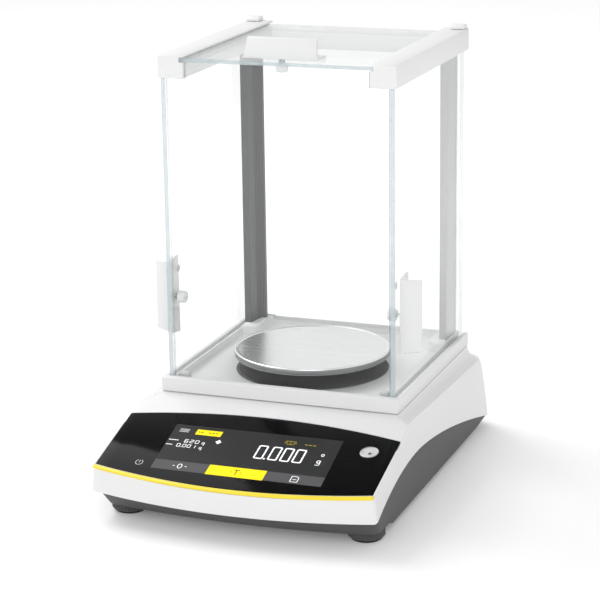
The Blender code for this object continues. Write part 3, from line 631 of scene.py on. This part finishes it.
def make_base():
    """The dark base, seen under the cover's arch and all over the underside."""
    def foot_ring(inset, z, front_rise=0.0):
        outline = plan_outline(104.4 - inset, -129.5 + inset, 9.6, 144 - inset, 9, 19)
        return [(x, y, z + (front_rise if y < -100 else 0.0)) for x, y in outline]

    def top_ring(inset):
        return [(x, y + (4.5 if y < CORNER_Y + 10 else 0.0), z - 0.3)
                for x, y, z in wall_ring(parting_height, 1.3 + inset)]

    under = [(x, y, 4.0) for x, y in plan_outline(100.0, -120.0, 9.0, 139.0, 8, 17)]
    foot, top = foot_ring(0, 5.0, 3.0), top_ring(0)
    waist = [[tuple(a + (b - a) * part for a, b in zip(first, second)) for first, second in zip(foot, top)]
             for part in stepped(0, 1, 6)]
    bm = bmesh.new()
    bridged(bm, [under, *waist, top_ring(2.5), foot_ring(3.5, 11.6)], True, True)
    base = piece("base_shell", bm, DARK, "housing", ["base_tub"], sharp=24)

    def feet(bm):
        for side, word in SIDES:
            low, high = reach(f"foot_wheel_{word}")
            spot = (low + high) / 2
            rod(bm, (spot.x, spot.y, 4.6), 15.0, 9.2, sides=64)
            rod(bm, (spot.x, spot.y, 12), 3.3, 20)
            low, high = reach(f"rear_foot_{word}")
            spot = (low + high) / 2
            rod(bm, (spot.x, spot.y, 4.0), 9.3, 5.0, sides=64)

    def screws(bm):
        for number in range(1, 5):
            low, high = reach(f"housing_screw_{number}")
            spot = (low + high) / 2
            rod(bm, (spot.x, spot.y, 3), 3.9, 6)

    return cut_with(base, feet, screws)


# ---- control panel and display -------------------------------------------------
def plate(bm, corners, lift, thick=0.05):
    """A thin flat shape on the operating slope; corners are (x, y) on the bench plan."""
    extruded(bm, [on_slope(x, y, lift) for x, y in corners], SLOPE_NORMAL * thick)


def mark(bm, corners):
    """A thin printed shape lying over the display's other plates."""
    plate(bm, corners, MARK_LIFT, MARK_THICK)


def stroke(bm, start, end, width):
    """A straight stroke between two places on the slope, with pointed ends."""
    start, end = Vector(start), Vector(end)
    way = (end - start).normalized()
    side = Vector((-way.y, way.x)) * width / 2
    tip = way * width / 2
    mark(bm, [start - tip, start - side, end - side, end + tip, end + side, start + side])


def loop_mark(bm, x, y, half_x, half_y, width, start=0.0, turn=2 * math.pi, steps=24):
    """A ring, or part of one, drawn as a chain of short plates."""
    places = [start + turn * k / steps for k in range(steps + 1)]
    for first, second in zip(places, places[1:]):
        corners = [(x + (half_x + grow) * math.cos(a), y + (half_y + grow) * math.sin(a))
                   for a, grow in ((first, 0), (second, 0), (second, -width), (first, -width))]
        mark(bm, corners)


SEGMENTS = {"0": "abcdef", "1": "bc", "2": "abged", "6": "afgedc"}


def digit(bm, sign, x, y, wide, tall, width):
    """One seven-segment figure with its lower left corner at x, y."""
    half = width / 2
    left, right, low, mid, high = x + half, x + wide - half, y + half, y + tall / 2, y + tall - half
    ends = {"a": ((left, high), (right, high)), "b": ((right, high), (right, mid)),
            "c": ((right, mid), (right, low)), "d": ((left, low), (right, low)),
            "e": ((left, mid), (left, low)), "f": ((left, high), (left, mid)),
            "g": ((left, mid), (right, mid))}
    for letter in SEGMENTS[sign]:
        first, second = (Vector(point) for point in ends[letter])
        trim = (second - first).normalized() * width * 0.32
        stroke(bm, first + trim, second - trim, width)


def make_figures(bm, text, x, y, wide, tall, width, pitch):
    for sign in text:
        if sign == ".":
            mark(bm, [(x - width, y), (x, y), (x, y + width * 1.3), (x - width, y + width * 1.3)])
            x += pitch - wide - 0.2 * width
        else:
            digit(bm, sign, x, y, wide, tall, width)
            x += pitch


def make_panel():
    bm = bmesh.new()
    outline = panel_outline()
    bridged(bm, [[on_slope(x, y, lift) for x, y in outline] for lift in (-1.4, 0.0)], True, True)
    round_edges(bm, 0.35, 3)
    panel = piece("panel_glass_plate", bm, PANEL, "housing", ["control_panel"])
    cut_with(panel, lambda bm: rod(bm, (LEVEL_X, LEVEL_Y, slope_height(LEVEL_Y)), 7.0, 14, sides=72))

    bm = bmesh.new()
    plate(bm, [(-63.4, -140.9), (66.2, -140.6), (64.6, -86.3), (-64.6, -87.2)], 0.0)
    piece("display_window", bm, SCREEN, "housing")
    bm = bmesh.new()
    plate(bm, [(-63.2, -140.7), (-21.4, -140.7), (-21.4, -130), (-63.4, -130)], 0.04)
    plate(bm, [(22.7, -140.6), (66.0, -140.5), (65.7, -130), (22.7, -130)], 0.04)
    piece("display_keys_grey", bm, KEY_GREY, "housing")
    bm = bmesh.new()
    plate(bm, [(-21.2, -140.9), (22.4, -140.9), (22.4, -129.8), (-21.2, -129.8)], 0.04)
    plate(bm, [(-46.6, -97.2), (-26.8, -97.2), (-26.6, -91.0), (-46.4, -91.0)], 0.04)
    piece("display_keys_yellow", bm, KEY_YELLOW, "housing")
    make_marks()


def make_marks():
    bm = bmesh.new()
    make_figures(bm, "0.000", 6.1, -117.3, 7.4, 15.9, 1.25, 9.2)
    loop_mark(bm, 54.9, -113.4, 1.5, 1.8, 0.65)
    stroke(bm, (56.2, -111.9), (56.2, -116.9), 0.65)
    stroke(bm, (53.5, -117.2), (55.9, -117.2), 0.65)
    loop_mark(bm, 55.5, -105.4, 1.3, 1.5, 0.6)
    mark(bm, [(-27.9, -103.3), (-25.6, -105.9), (-23.3, -103.3), (-25.6, -100.7)])
    make_figures(bm, "620", -51.0, -108.0, 3.0, 3.9, 0.5, 4.2)
    make_figures(bm, "0.001", -55.0, -113.6, 2.8, 3.9, 0.5, 3.7)
    for y, low, high in ((-106.0, -63.2, -56.0), (-111.7, -63.2, -58.6)):
        stroke(bm, (low, y), (high, y), 0.7)
    for y in (-106.8, -112.6):
        loop_mark(bm, -36.2, y, 1.1, 1.3, 0.45, steps=12)
        stroke(bm, (-35.3, y + 0.8), (-35.3, y - 2.4), 0.45)
    loop_mark(bm, -42.6, -135.4, 1.9, 2.7, 0.6)
    for x in (-47.2, -38.0):
        stroke(bm, (x - 0.6, -135.4), (x + 0.6, -135.4), 0.6)
    for start, end in (((42.2, -138.6), (42.2, -132.4)), ((47.6, -138.6), (47.6, -133.8)),
                       ((42.2, -138.6), (47.6, -138.6)), ((42.2, -132.4), (46.0, -132.4)),
                       ((46.0, -132.4), (47.6, -133.8)), ((43.8, -135.9), (46.2, -135.9))):
        stroke(bm, start, end, 0.5)
    piece("display_marks_white", bm, MARK_WHITE, "housing")

    bm = bmesh.new()
    for k in range(3):
        stroke(bm, (-59.4, -92.4 - 1.5 * k), (-52.4, -92.4 - 1.5 * k), 0.8)
    loop_mark(bm, -74.0, -136.0, 2.9, 3.1, 0.55, start=math.radians(120), turn=math.radians(300), steps=28)
    stroke(bm, (-74.0, -133.6), (-74.0, -136.2), 0.55)
    piece("display_marks_grey", bm, MARK_GREY, "housing")

    bm = bmesh.new()
    stroke(bm, (27.3, -93.0), (27.3, -96.8), 0.5)
    stroke(bm, (23.4, -93.4), (31.2, -93.4), 0.5)
    stroke(bm, (24.8, -97.0), (29.8, -97.0), 0.5)
    for x in (23.9, 30.7):
        loop_mark(bm, x, -95.2, 1.2, 1.0, 0.4, steps=12)
    for x in (38.6, 41.6, 44.8):
        stroke(bm, (x, -95.6), (x + 1.8, -95.6), 0.8)
    piece("display_marks_amber", bm, MARK_AMBER, "housing")

    bm = bmesh.new()
    stroke(bm, (-1.6, -132.8), (2.8, -132.8), 0.7)
    stroke(bm, (0.6, -133.2), (0.6, -138.0), 0.7)
    for x in (-3.0, 4.2):
        stroke(bm, (x - 0.5, -135.4), (x + 0.5, -135.4), 0.6)
    for x in (-45.0, -42.6, -36.6, -33.8, -31.0):
        stroke(bm, (x, -94.0), (x + 1.4, -94.0), 0.9)
    piece("display_marks_dark", bm, MARK_DARK, "housing")


def make_strip():
    bm = bmesh.new()
    outline = strip_outline()
    bridged(bm, [[(x, y, slope_height(y) - STRIP_THICK) for x, y in outline],
                 [(x, y, slope_height(y)) for x, y in outline]], True, True)
    round_edges(bm, 0.5, 3, 40)
    piece("yellow_strip", bm, YELLOW, "housing", ["trim_strip"])


def at_level(bm, profile, steps=48, aside=(0, 0)):
    """Turn a profile about the slope's own normal, at the level's place."""
    turned(bm, profile, (0, 0, 0), steps)
    tilt = Vector((0, 0, 1)).rotation_difference(SLOPE_NORMAL).to_matrix()
    bmesh.ops.rotate(bm, verts=bm.verts, cent=(0, 0, 0), matrix=tilt)
    bmesh.ops.translate(bm, verts=bm.verts, vec=on_slope(LEVEL_X + aside[0], LEVEL_Y + aside[1]))


def make_level():
    """Bull's-eye level: a metal cup with a silvery dial under glass, flush with the panel."""
    bm = bmesh.new()
    at_level(bm, [(0, -6.0), (6.6, -6.0), (6.75, -0.5), (6.7, 0.0), (6.4, 0.14), (6.1, 0.0), (6.1, -1.3),
                  (0, -1.3)])
    piece("level_cup", bm, ZINC, "housing", ["level_vial"])
    dial = Finish("level_dial", specular_ior_level=0.4, coat_weight=0.35, coat_roughness=0.05)
    cloud = dial.noise(160, detail=3.0)
    dial.paint("Base Color", dial.mixed(cloud, (0.50, 0.51, 0.51), (0.72, 0.73, 0.72)))
    dial.paint("Roughness", 0.22 + cloud * 0.12)
    bm = bmesh.new()
    at_level(bm, [(0, 0.12), (3.0, 0.08), (6.0, -0.12), (6.05, -1.2), (0, -1.2)])
    piece("level_dial", bm, dial.material, "housing")
    bm = bmesh.new()
    at_level(bm, [(1.9, 0.10), (2.1, 0.17), (2.3, 0.08)], 40, aside=(0.8, -1.4))
    piece("level_target_ring", bm, GREY, "housing")
    bm = bmesh.new()
    at_level(bm, [(0, 0.24), (0.8, 0.2), (1.3, 0.08), (0, 0.02)], 32, aside=(1.0, -1.7))
    piece("level_bubble", bm, DARK_AND_PAINTED_SHADOW, "housing")


# ---- pan -----------------------------------------------------------------------
def make_pan():
    top, rim = PAN_HIGH.z, PAN_LOW.z
    radius = (PAN_HIGH.x - PAN_LOW.x) / 2
    bm = bmesh.new()
    turned(bm, [(0, top - 0.75), (radius - 3.2, top - 0.75), (radius - 2.2, top - 0.62),
                (radius - 1.5, top - 0.15), (radius - 1.0, top), (radius - 0.45, top - 0.08),
                (radius - 0.12, top - 0.4), (radius, top - 0.9), (radius, rim + 0.3), (radius - 0.25, rim),
                (radius - 0.9, rim), (radius - 1.15, rim + 0.3), (radius - 1.15, top - 2.1),
                (0, top - 2.1)], (0, PAN_Y, 0), 180)
    pan = piece("pan_dish", bm, [STEEL, RIM_STEEL_PAINTED_SHADE], "pan", ["weighing_pan"], sharp=50)
    # The upright faces of the rim take the darker steel, painted shade.
    for face in pan.data.polygons:
        if abs(face.normal.z) < 0.5 and face.center.z < (top - 0.9) * MM:
            face.material_index = 1


# ---- draft shield --------------------------------------------------------------
def make_pane(node, name, thin_axis):
    """A pane with its arrises taken off; its faces are clear, and its edges tinted with painted light and
    shade by the way they face.
    """
    finishes = [PANE, PANE_EDGE_PAINTED_LIGHT, PANE_ARRIS_PAINTED_SHADE, PANE_REAR_PAINTED_FAINT]
    pane = rounded_copy(node, name, finishes, segments=1, sharp=20)
    for face in pane.data.polygons:
        ahead = -face.normal.y
        if abs(face.normal[thin_axis]) > 0.95 or abs(face.normal.z) > 0.3:
            face.material_index = 0
        # Edges facing ahead take the painted light, slanting ones the painted shade, the rest the faint
        # copy.
        elif ahead < 0.3:
            face.material_index = 3
        else:
            face.material_index = 1 if ahead > 0.95 else 2


def make_panes():
    make_pane("front_pane", "front_glass", thin_axis=1)
    make_pane("rear_pane", "rear_glass", thin_axis=1)
    make_pane("top_door", "top_glass", thin_axis=2)
    for _, word in SIDES:
        make_pane(f"side_door_{word}", f"side_glass_{word}", thin_axis=0)


def make_pillar(side, word):
    """Extruded aluminium pillar: a plain front strip and fine flutes down its slanting inner face."""
    low, high = reach(f"pillar_{word}")
    outer, front, back = (high.x if side > 0 else -low.x), low.y, high.y
    inner_front, inner_back = 79.6, 75.4
    slant = [(inner_front - 1.4, front + 9), (inner_back, back - 4)]
    flutes = []
    for k in range(6):
        for step, cut in ((0.15, 0.0), (0.35, 0.35), (0.65, 0.35), (0.85, 0.0)):
            part = (k + step) / 6
            x, y = (slant[0][axis] + (slant[1][axis] - slant[0][axis]) * part for axis in (0, 1))
            flutes.append((x + cut, y))
    points = [(inner_front, front), (outer, front), (outer, back), (inner_back, back), slant[1]]
    points += flutes[::-1] + [slant[0]]
    bm = bmesh.new()
    extruded(bm, [(side * x, y, low.z) for x, y in points], (0, 0, high.z - low.z))
    bmesh.ops.recalc_face_normals(bm, faces=bm.faces)
    round_edges(bm, 0.12, 1, 40)
    # Each pillar takes its own side's copy of the aluminium: painted shade on the left, painted glare on the
    # right.
    piece(f"pillar_profile_{word}", bm, ALUMINIUM_PAINTED_BY_SIDE[side], "housing", [f"pillar_{word}"], sharp=30)


def make_rear_cap(word):
    """The small domed cap over a rail's rear end."""
    low, high = reach(f"rail_cap_{word}")
    rise, front, nose = (high.z - low.z) * 0.8, low.y + 7.0, 6.0
    crest = high.y - nose
    dome = [(front + (crest - front) * (1 - math.cos(turn)), low.z + rise * math.sin(turn))
            for turn in stepped(0, math.pi / 2, 14)]
    dome += [(crest + nose * math.sin(turn), low.z + rise * math.cos(turn))
             for turn in stepped(0, math.pi / 2, 10)[1:]]
    bm = bmesh.new()
    extruded(bm, [(low.x + 1.0, y, z) for y, z in dome], (high.x - low.x - 2.0, 0, 0))
    bmesh.ops.recalc_face_normals(bm, faces=bm.faces)
    round_edges(bm, 0.9, 3, 50)
    piece(f"rear_cap_{word}", bm, WHITE, "housing", [f"rail_cap_{word}"], sharp=40)


def make_rails():
    for _, word in SIDES:
        rounded_copy(f"rail_{word}", f"top_rail_{word}", WHITE)
        make_rear_cap(word)
    rounded_copy("rear_crossbeam", "crossbeam", WHITE)


def make_boot(side, word):
    """The tray's rounded boot round a pillar's foot."""
    low, high = reach(f"pillar_{word}")
    inner, outer = (low.x, high.x) if side > 0 else (-high.x, -low.x)
    margin, foot_z, tall = 3.4, 74.0, 9.4
    edge = min(outer + 2.2, DOOR_LOW.x - 0.5)
    front, back = low.y - margin, high.y - 7.0
    plan = [(inner - margin, front), (edge, front), (edge, back), (inner - margin, back)]
    bm = bmesh.new()
    extruded(bm, [(side * x, y, foot_z) for x, y in plan], (0, 0, tall))
    bmesh.ops.recalc_face_normals(bm, faces=bm.faces)
    upright = [e for e in bm.edges if abs(e.verts[0].co.z - e.verts[1].co.z) > 1]
    bevelled(bm, upright, 4.2, 7)
    upper = [e for e in bm.edges if all(vert.co.z > foot_z + tall - 1 for vert in e.verts)
             and e.calc_face_angle(0) > 1]
    bevelled(bm, upper, 2.0, 5)
    piece(f"pillar_boot_{word}", bm, WHITE, "housing", sharp=50)


def make_tray():
    """The tray under the shield; the upper edges of its collars stay sharp, under the boots."""
    collar_top = reach("shield_tray")[1].z
    rounded_copy("shield_tray", "tray", WHITE, below=collar_top - 0.5)
    for _, word in SIDES:
        rounded_copy(f"pane_clip_{word}", f"corner_clip_{word}", GREY)


def make_grip(name, node, face, along, out, body):
    """A finger grip: a flange on the glass and a curved fin with slanting ends."""
    length, reach_out, flange, thick = 61.0, 15.0, 14.5, 2.4
    along, out, back = Vector(along), Vector(out), Vector((0, 1, 0))
    fin = [(reach_out * part, 5.0 * part ** 2) for part in stepped(0, 1, 15)]
    behind = [(reach_out * part, 5.0 * part ** 2 + thick) for part in stepped(1, 0.3, 12)]
    profile = fin + behind + [(thick + 1.0, 4.4), (thick, 5.6), (thick, flange), (0, flange)]
    bm = bmesh.new()
    rings = []
    for end in (-1, 1):
        rings.append([Vector(face) + out * (far + 0.3) + back * deep
                      + along * end * (length / 2 - 3.4 * far / reach_out - 2.1 * max(1 - deep / 7, 0))
                      for far, deep in profile])
    bridged(bm, rings, True, True)
    bmesh.ops.recalc_face_normals(bm, faces=bm.faces)
    round_edges(bm, 0.55, 3, 50)
    piece(name, bm, WHITE, body, [node], sharp=40)


def make_knob(name, node, centre, axis, body):
    """The round nut that holds a grip through the glass, with a coin slot and fine ribs."""
    long = 5.8
    bm = bmesh.new()
    direction = Vector({"X": (1, 0, 0), "Z": (0, 0, 1)}[axis])
    inward = -1 if (axis == "Z" or centre[0] > 0) else 1
    across = Vector((0, 1, 0)), direction.cross(Vector((0, 1, 0)))
    rings = []
    for depth, radius, ribs in ((0.0, 4.3, 0.0), (0.5, 4.6, 0.0), (0.9, 4.6, 0.14), (4.6, 4.6, 0.14),
                                (5.2, 4.5, 0.0), (long, 3.9, 0.0)):
        rings.append([Vector(centre) + direction * inward * depth
                      + (across[0] * math.cos(turn) + across[1] * math.sin(turn))
                      * (radius - (ribs if k % 3 == 0 else 0.0))
                      for k, turn in enumerate(stepped(0, 2 * math.pi, 73)[:-1])])
    bridged(bm, rings, True, True)
    knob = piece(name, bm, WHITE, body, [node], sharp=40)

    def coin_slot(bm):
        face = Vector(centre) + direction * inward * long
        span = across[0] * 5.0 + across[1] * 0.45 + direction * 0.8
        half = Vector([abs(part) for part in span])
        block(bm, face - half, face + half)

    return cut_with(knob, coin_slot)


def make_rivet(name, centre, axis, body):
    """The small domed rivet beside a grip's nut."""
    inward = Vector((0, 0, -1)) if axis == "Z" else Vector((-1 if centre[0] > 0 else 1, 0, 0))
    bm = bmesh.new()
    turned(bm, [(0, 0), (2.7, 0), (2.7, 0.4), (2.3, 0.8), (0.9, 0.9), (0.8, 0.5), (0, 0.5)], (0, 0, 0), 36)
    turn = Vector((0, 0, 1)).rotation_difference(inward).to_matrix()
    bmesh.ops.rotate(bm, verts=bm.verts, cent=(0, 0, 0), matrix=turn)
    bmesh.ops.translate(bm, verts=bm.verts, vec=Vector(centre) + inward * 0.05)
    piece(name, bm, ZINC, body, sharp=40)


def make_grips():
    grip_y = DOOR_LOW.y + BEHIND_EDGE
    nut_y = grip_y + NUT_BEHIND_GRIP
    for side, word in SIDES:
        body = f"{word}_door"
        make_grip(f"grip_{word}", f"side_door_handle_{word}", (side * DOOR_HIGH.x, grip_y, GRIP_Z),
                  (0, 0, 1), (side, 0, 0), body)
        make_knob(f"grip_nut_{word}", f"side_door_knob_{word}",
                  (side * (DOOR_LOW.x - 0.3), nut_y, GRIP_Z), "X", body)
        make_rivet(f"grip_rivet_{word}", (side * DOOR_LOW.x, nut_y, GRIP_Z + 22), "X", body)
    low, high = reach("top_door")
    make_grip("grip_top", "top_door_handle", (0, grip_y, high.z), (1, 0, 0), (0, 0, 1), "roof_door")
    make_knob("grip_nut_top", "top_door_knob", (0, nut_y, low.z - 0.3), "Z", "roof_door")
    make_rivet("grip_rivet_top", (-23, nut_y, low.z), "Z", "roof_door")


# ---- feet and rear wall --------------------------------------------------------
def make_feet():
    for _, word in SIDES:
        low, high = reach(f"foot_wheel_{word}")
        x, y, radius = (low.x + high.x) / 2, (low.y + high.y) / 2, (high.x - low.x) / 2
        ribs = 42
        rings = []
        for z, size, cut in ((1.9, 0.90, 0.0), (2.5, 0.95, 0.35), (3.1, 1.0, 0.8), (7.4, 1.0, 0.8),
                             (8.0, 0.96, 0.35), (8.6, 0.86, 0.0)):
            ring = []
            for k in range(ribs * 4):
                turn = 2 * math.pi * k / (ribs * 4)
                far = radius * size - cut * (1, 0.45, 0, 0.45)[k % 4]
                ring.append((x + far * math.cos(turn), y + far * math.sin(turn), z))
            rings.append(ring)
        bm = bmesh.new()
        bridged(bm, rings, True, True)
        rod(bm, (x, y, 14.4), 3.0, 11.2, sides=24)
        piece(f"foot_wheel_knurled_{word}", bm, DARK, f"{word}_foot_wheel",
              [f"foot_wheel_{word}"])
        dress(f"foot_pad_{word}", RUBBER)
        rounded_copy(f"rear_foot_{word}", f"rear_foot_soft_{word}", RUBBER)


def make_sockets():
    rounded_copy("power_inlet", "supply_socket", BLACK, 0.15, 1)
    rounded_copy("data_socket", "data_socket_shell", ZINC, 0.15, 1)
    low, high = reach("data_socket")
    middle = (low + high) / 2
    bm = bmesh.new()
    block(bm, (middle.x - 2.6, high.y - 8.6, middle.z - 1.1), (middle.x + 2.6, high.y - 1.5, middle.z + 1.1))
    round_edges(bm, 0.2, 2)
    piece("data_socket_tongue", bm, BLACK, "housing")


def make_screws():
    """Pan-head screws with a cross recess."""
    for number in range(1, 5):
        node = f"housing_screw_{number}"
        low, high = reach(node)
        x, y = (low.x + high.x) / 2, (low.y + high.y) / 2
        bm = bmesh.new()
        turned(bm, [(0, low.z), (2.4, low.z + 0.05), (3.2, low.z + 0.4), (3.5, low.z + 1.0),
                    (3.5, low.z + 1.3), (1.5, low.z + 1.3), (1.5, high.z), (0, high.z)], (x, y, 0), 40)
        screw = piece(f"{node}_head", bm, ZINC, "housing", [node])

        def cross(bm, x=x, y=y, z=low.z):
            block(bm, (x - 1.7, y - 0.35, z - 1), (x + 1.7, y + 0.35, z + 0.8))

        def across(bm, x=x, y=y, z=low.z):
            block(bm, (x - 0.35, y - 1.7, z - 1), (x + 0.35, y + 1.7, z + 0.8))

        cut_with(screw, cross, across)


def dress_inner_nodes_and_shadow_disc():
    # pan_shield_disc is a dark disc on the tray that stands for the pan's shadow: painted shadow.
    for node, finish in (("display_module", ZINC), ("load_cell", CAST), ("load_cell_mount", CAST),
                         ("force_coil_housing", ZINC), ("load_receiver", STEEL), ("main_board", BOARD),
                         ("pan_support", DARK_AND_PAINTED_SHADOW), ("pan_shield_disc", DARK_AND_PAINTED_SHADOW)):
        dress(node, finish)


# ---- studio --------------------------------------------------------------------
def make_floor():
    finish = Finish("studio_floor", base_color=(0.9, 0.9, 0.9), roughness=0.9, specular_ior_level=0.0,
                    emission_strength=1.0)
    away = finish.node("VectorMath", {"operation": "LENGTH"}, {0: finish.place()}, output="Value")
    glow = ((away - 0.3) * 1.6).limited()
    finish.paint("Emission Color", finish.mixed(glow, (0.12, 0.12, 0.12), (0.27, 0.27, 0.27)))
    bm = bmesh.new()
    bmesh.ops.create_grid(bm, x_segments=1, y_segments=1, size=14.0)
    mesh = bpy.data.meshes.new("studio_floor")
    bm.to_mesh(mesh)
    bm.free()
    mesh.materials.append(finish.material)
    floor = bpy.data.objects.new("studio_floor", mesh)
    bpy.context.scene.collection.objects.link(floor)


def make_light(name, place, target, size, power):
    lamp = bpy.data.lights.new(name, "AREA")
    lamp.shape = "SQUARE"
    lamp.size = size
    lamp.energy = power
    obj = bpy.data.objects.new(name, lamp)
    bpy.context.scene.collection.objects.link(obj)
    obj.location = place
    obj.rotation_mode = "QUATERNION"
    obj.rotation_quaternion = (Vector(target) - Vector(place)).to_track_quat("-Z", "Y")


def make_world():
    """White surroundings, a little darker overhead."""
    world = bpy.data.worlds.new("studio")
    world.use_nodes = True
    bpy.context.scene.world = world
    tree = world.node_tree
    place = tree.nodes.new("ShaderNodeTexCoord")
    split = tree.nodes.new("ShaderNodeSeparateXYZ")
    ramp = tree.nodes.new("ShaderNodeValToRGB")
    ramp.color_ramp.elements[0].position = 0.42
    ramp.color_ramp.elements[0].color = (1, 1, 1, 1)
    ramp.color_ramp.elements[1].position = 0.8
    ramp.color_ramp.elements[1].color = (0.62, 0.62, 0.62, 1)
    tree.links.new(place.outputs["Generated"], split.inputs[0])
    tree.links.new(split.outputs["Z"], ramp.inputs[0])
    tree.links.new(ramp.outputs[0], tree.nodes["Background"].inputs[0])
    tree.nodes["Background"].inputs[1].default_value = 0.9


def make_camera():
    """Seen from the front right, a little above."""
    azimuth, elevation, roll = math.radians(20.36), math.radians(15.54), math.radians(-0.8)
    target, distance = Vector((0, -30.5, 160.0)), 1604.24
    back = Vector((math.sin(azimuth) * math.cos(elevation), -math.cos(azimuth) * math.cos(elevation),
                   math.sin(elevation)))
    right = (-back).cross(Vector((0, 0, 1))).normalized()
    up = back.cross(right)
    place = target + back * distance + right * 11.19 - up * 15.5
    right, up = (right * math.cos(roll) + up * math.sin(roll), up * math.cos(roll) - right * math.sin(roll))
    camera = bpy.data.objects.new("camera", bpy.data.cameras.new("camera"))
    bpy.context.scene.collection.objects.link(camera)
    camera.data.sensor_width = 36.0
    camera.data.lens = 130.5
    camera.matrix_world = Matrix.Translation(place * MM) @ Matrix((right, up, back)).transposed().to_4x4()
    bpy.context.scene.camera = camera


def make_studio():
    make_floor()
    make_world()
    make_light("key", (-1.3, 0.5, 1.7), (0, 0, 0.1), 1.2, 22)
    make_light("fill", (0.6, -2.2, 1.6), (0, 0, 0.1), 1.6, 16)
    make_camera()
    bpy.context.scene.view_settings.view_transform = "Standard"


def make_balance():
    make_cover()
    make_base()
    make_panel()
    make_strip()
    make_level()
    make_pan()
    make_tray()
    make_panes()
    for side, word in SIDES:
        make_pillar(side, word)
        make_boot(side, word)
    make_rails()
    make_grips()
    make_feet()
    make_sockets()
    make_screws()
    dress_inner_nodes_and_shadow_disc()


make_balance()
make_studio()
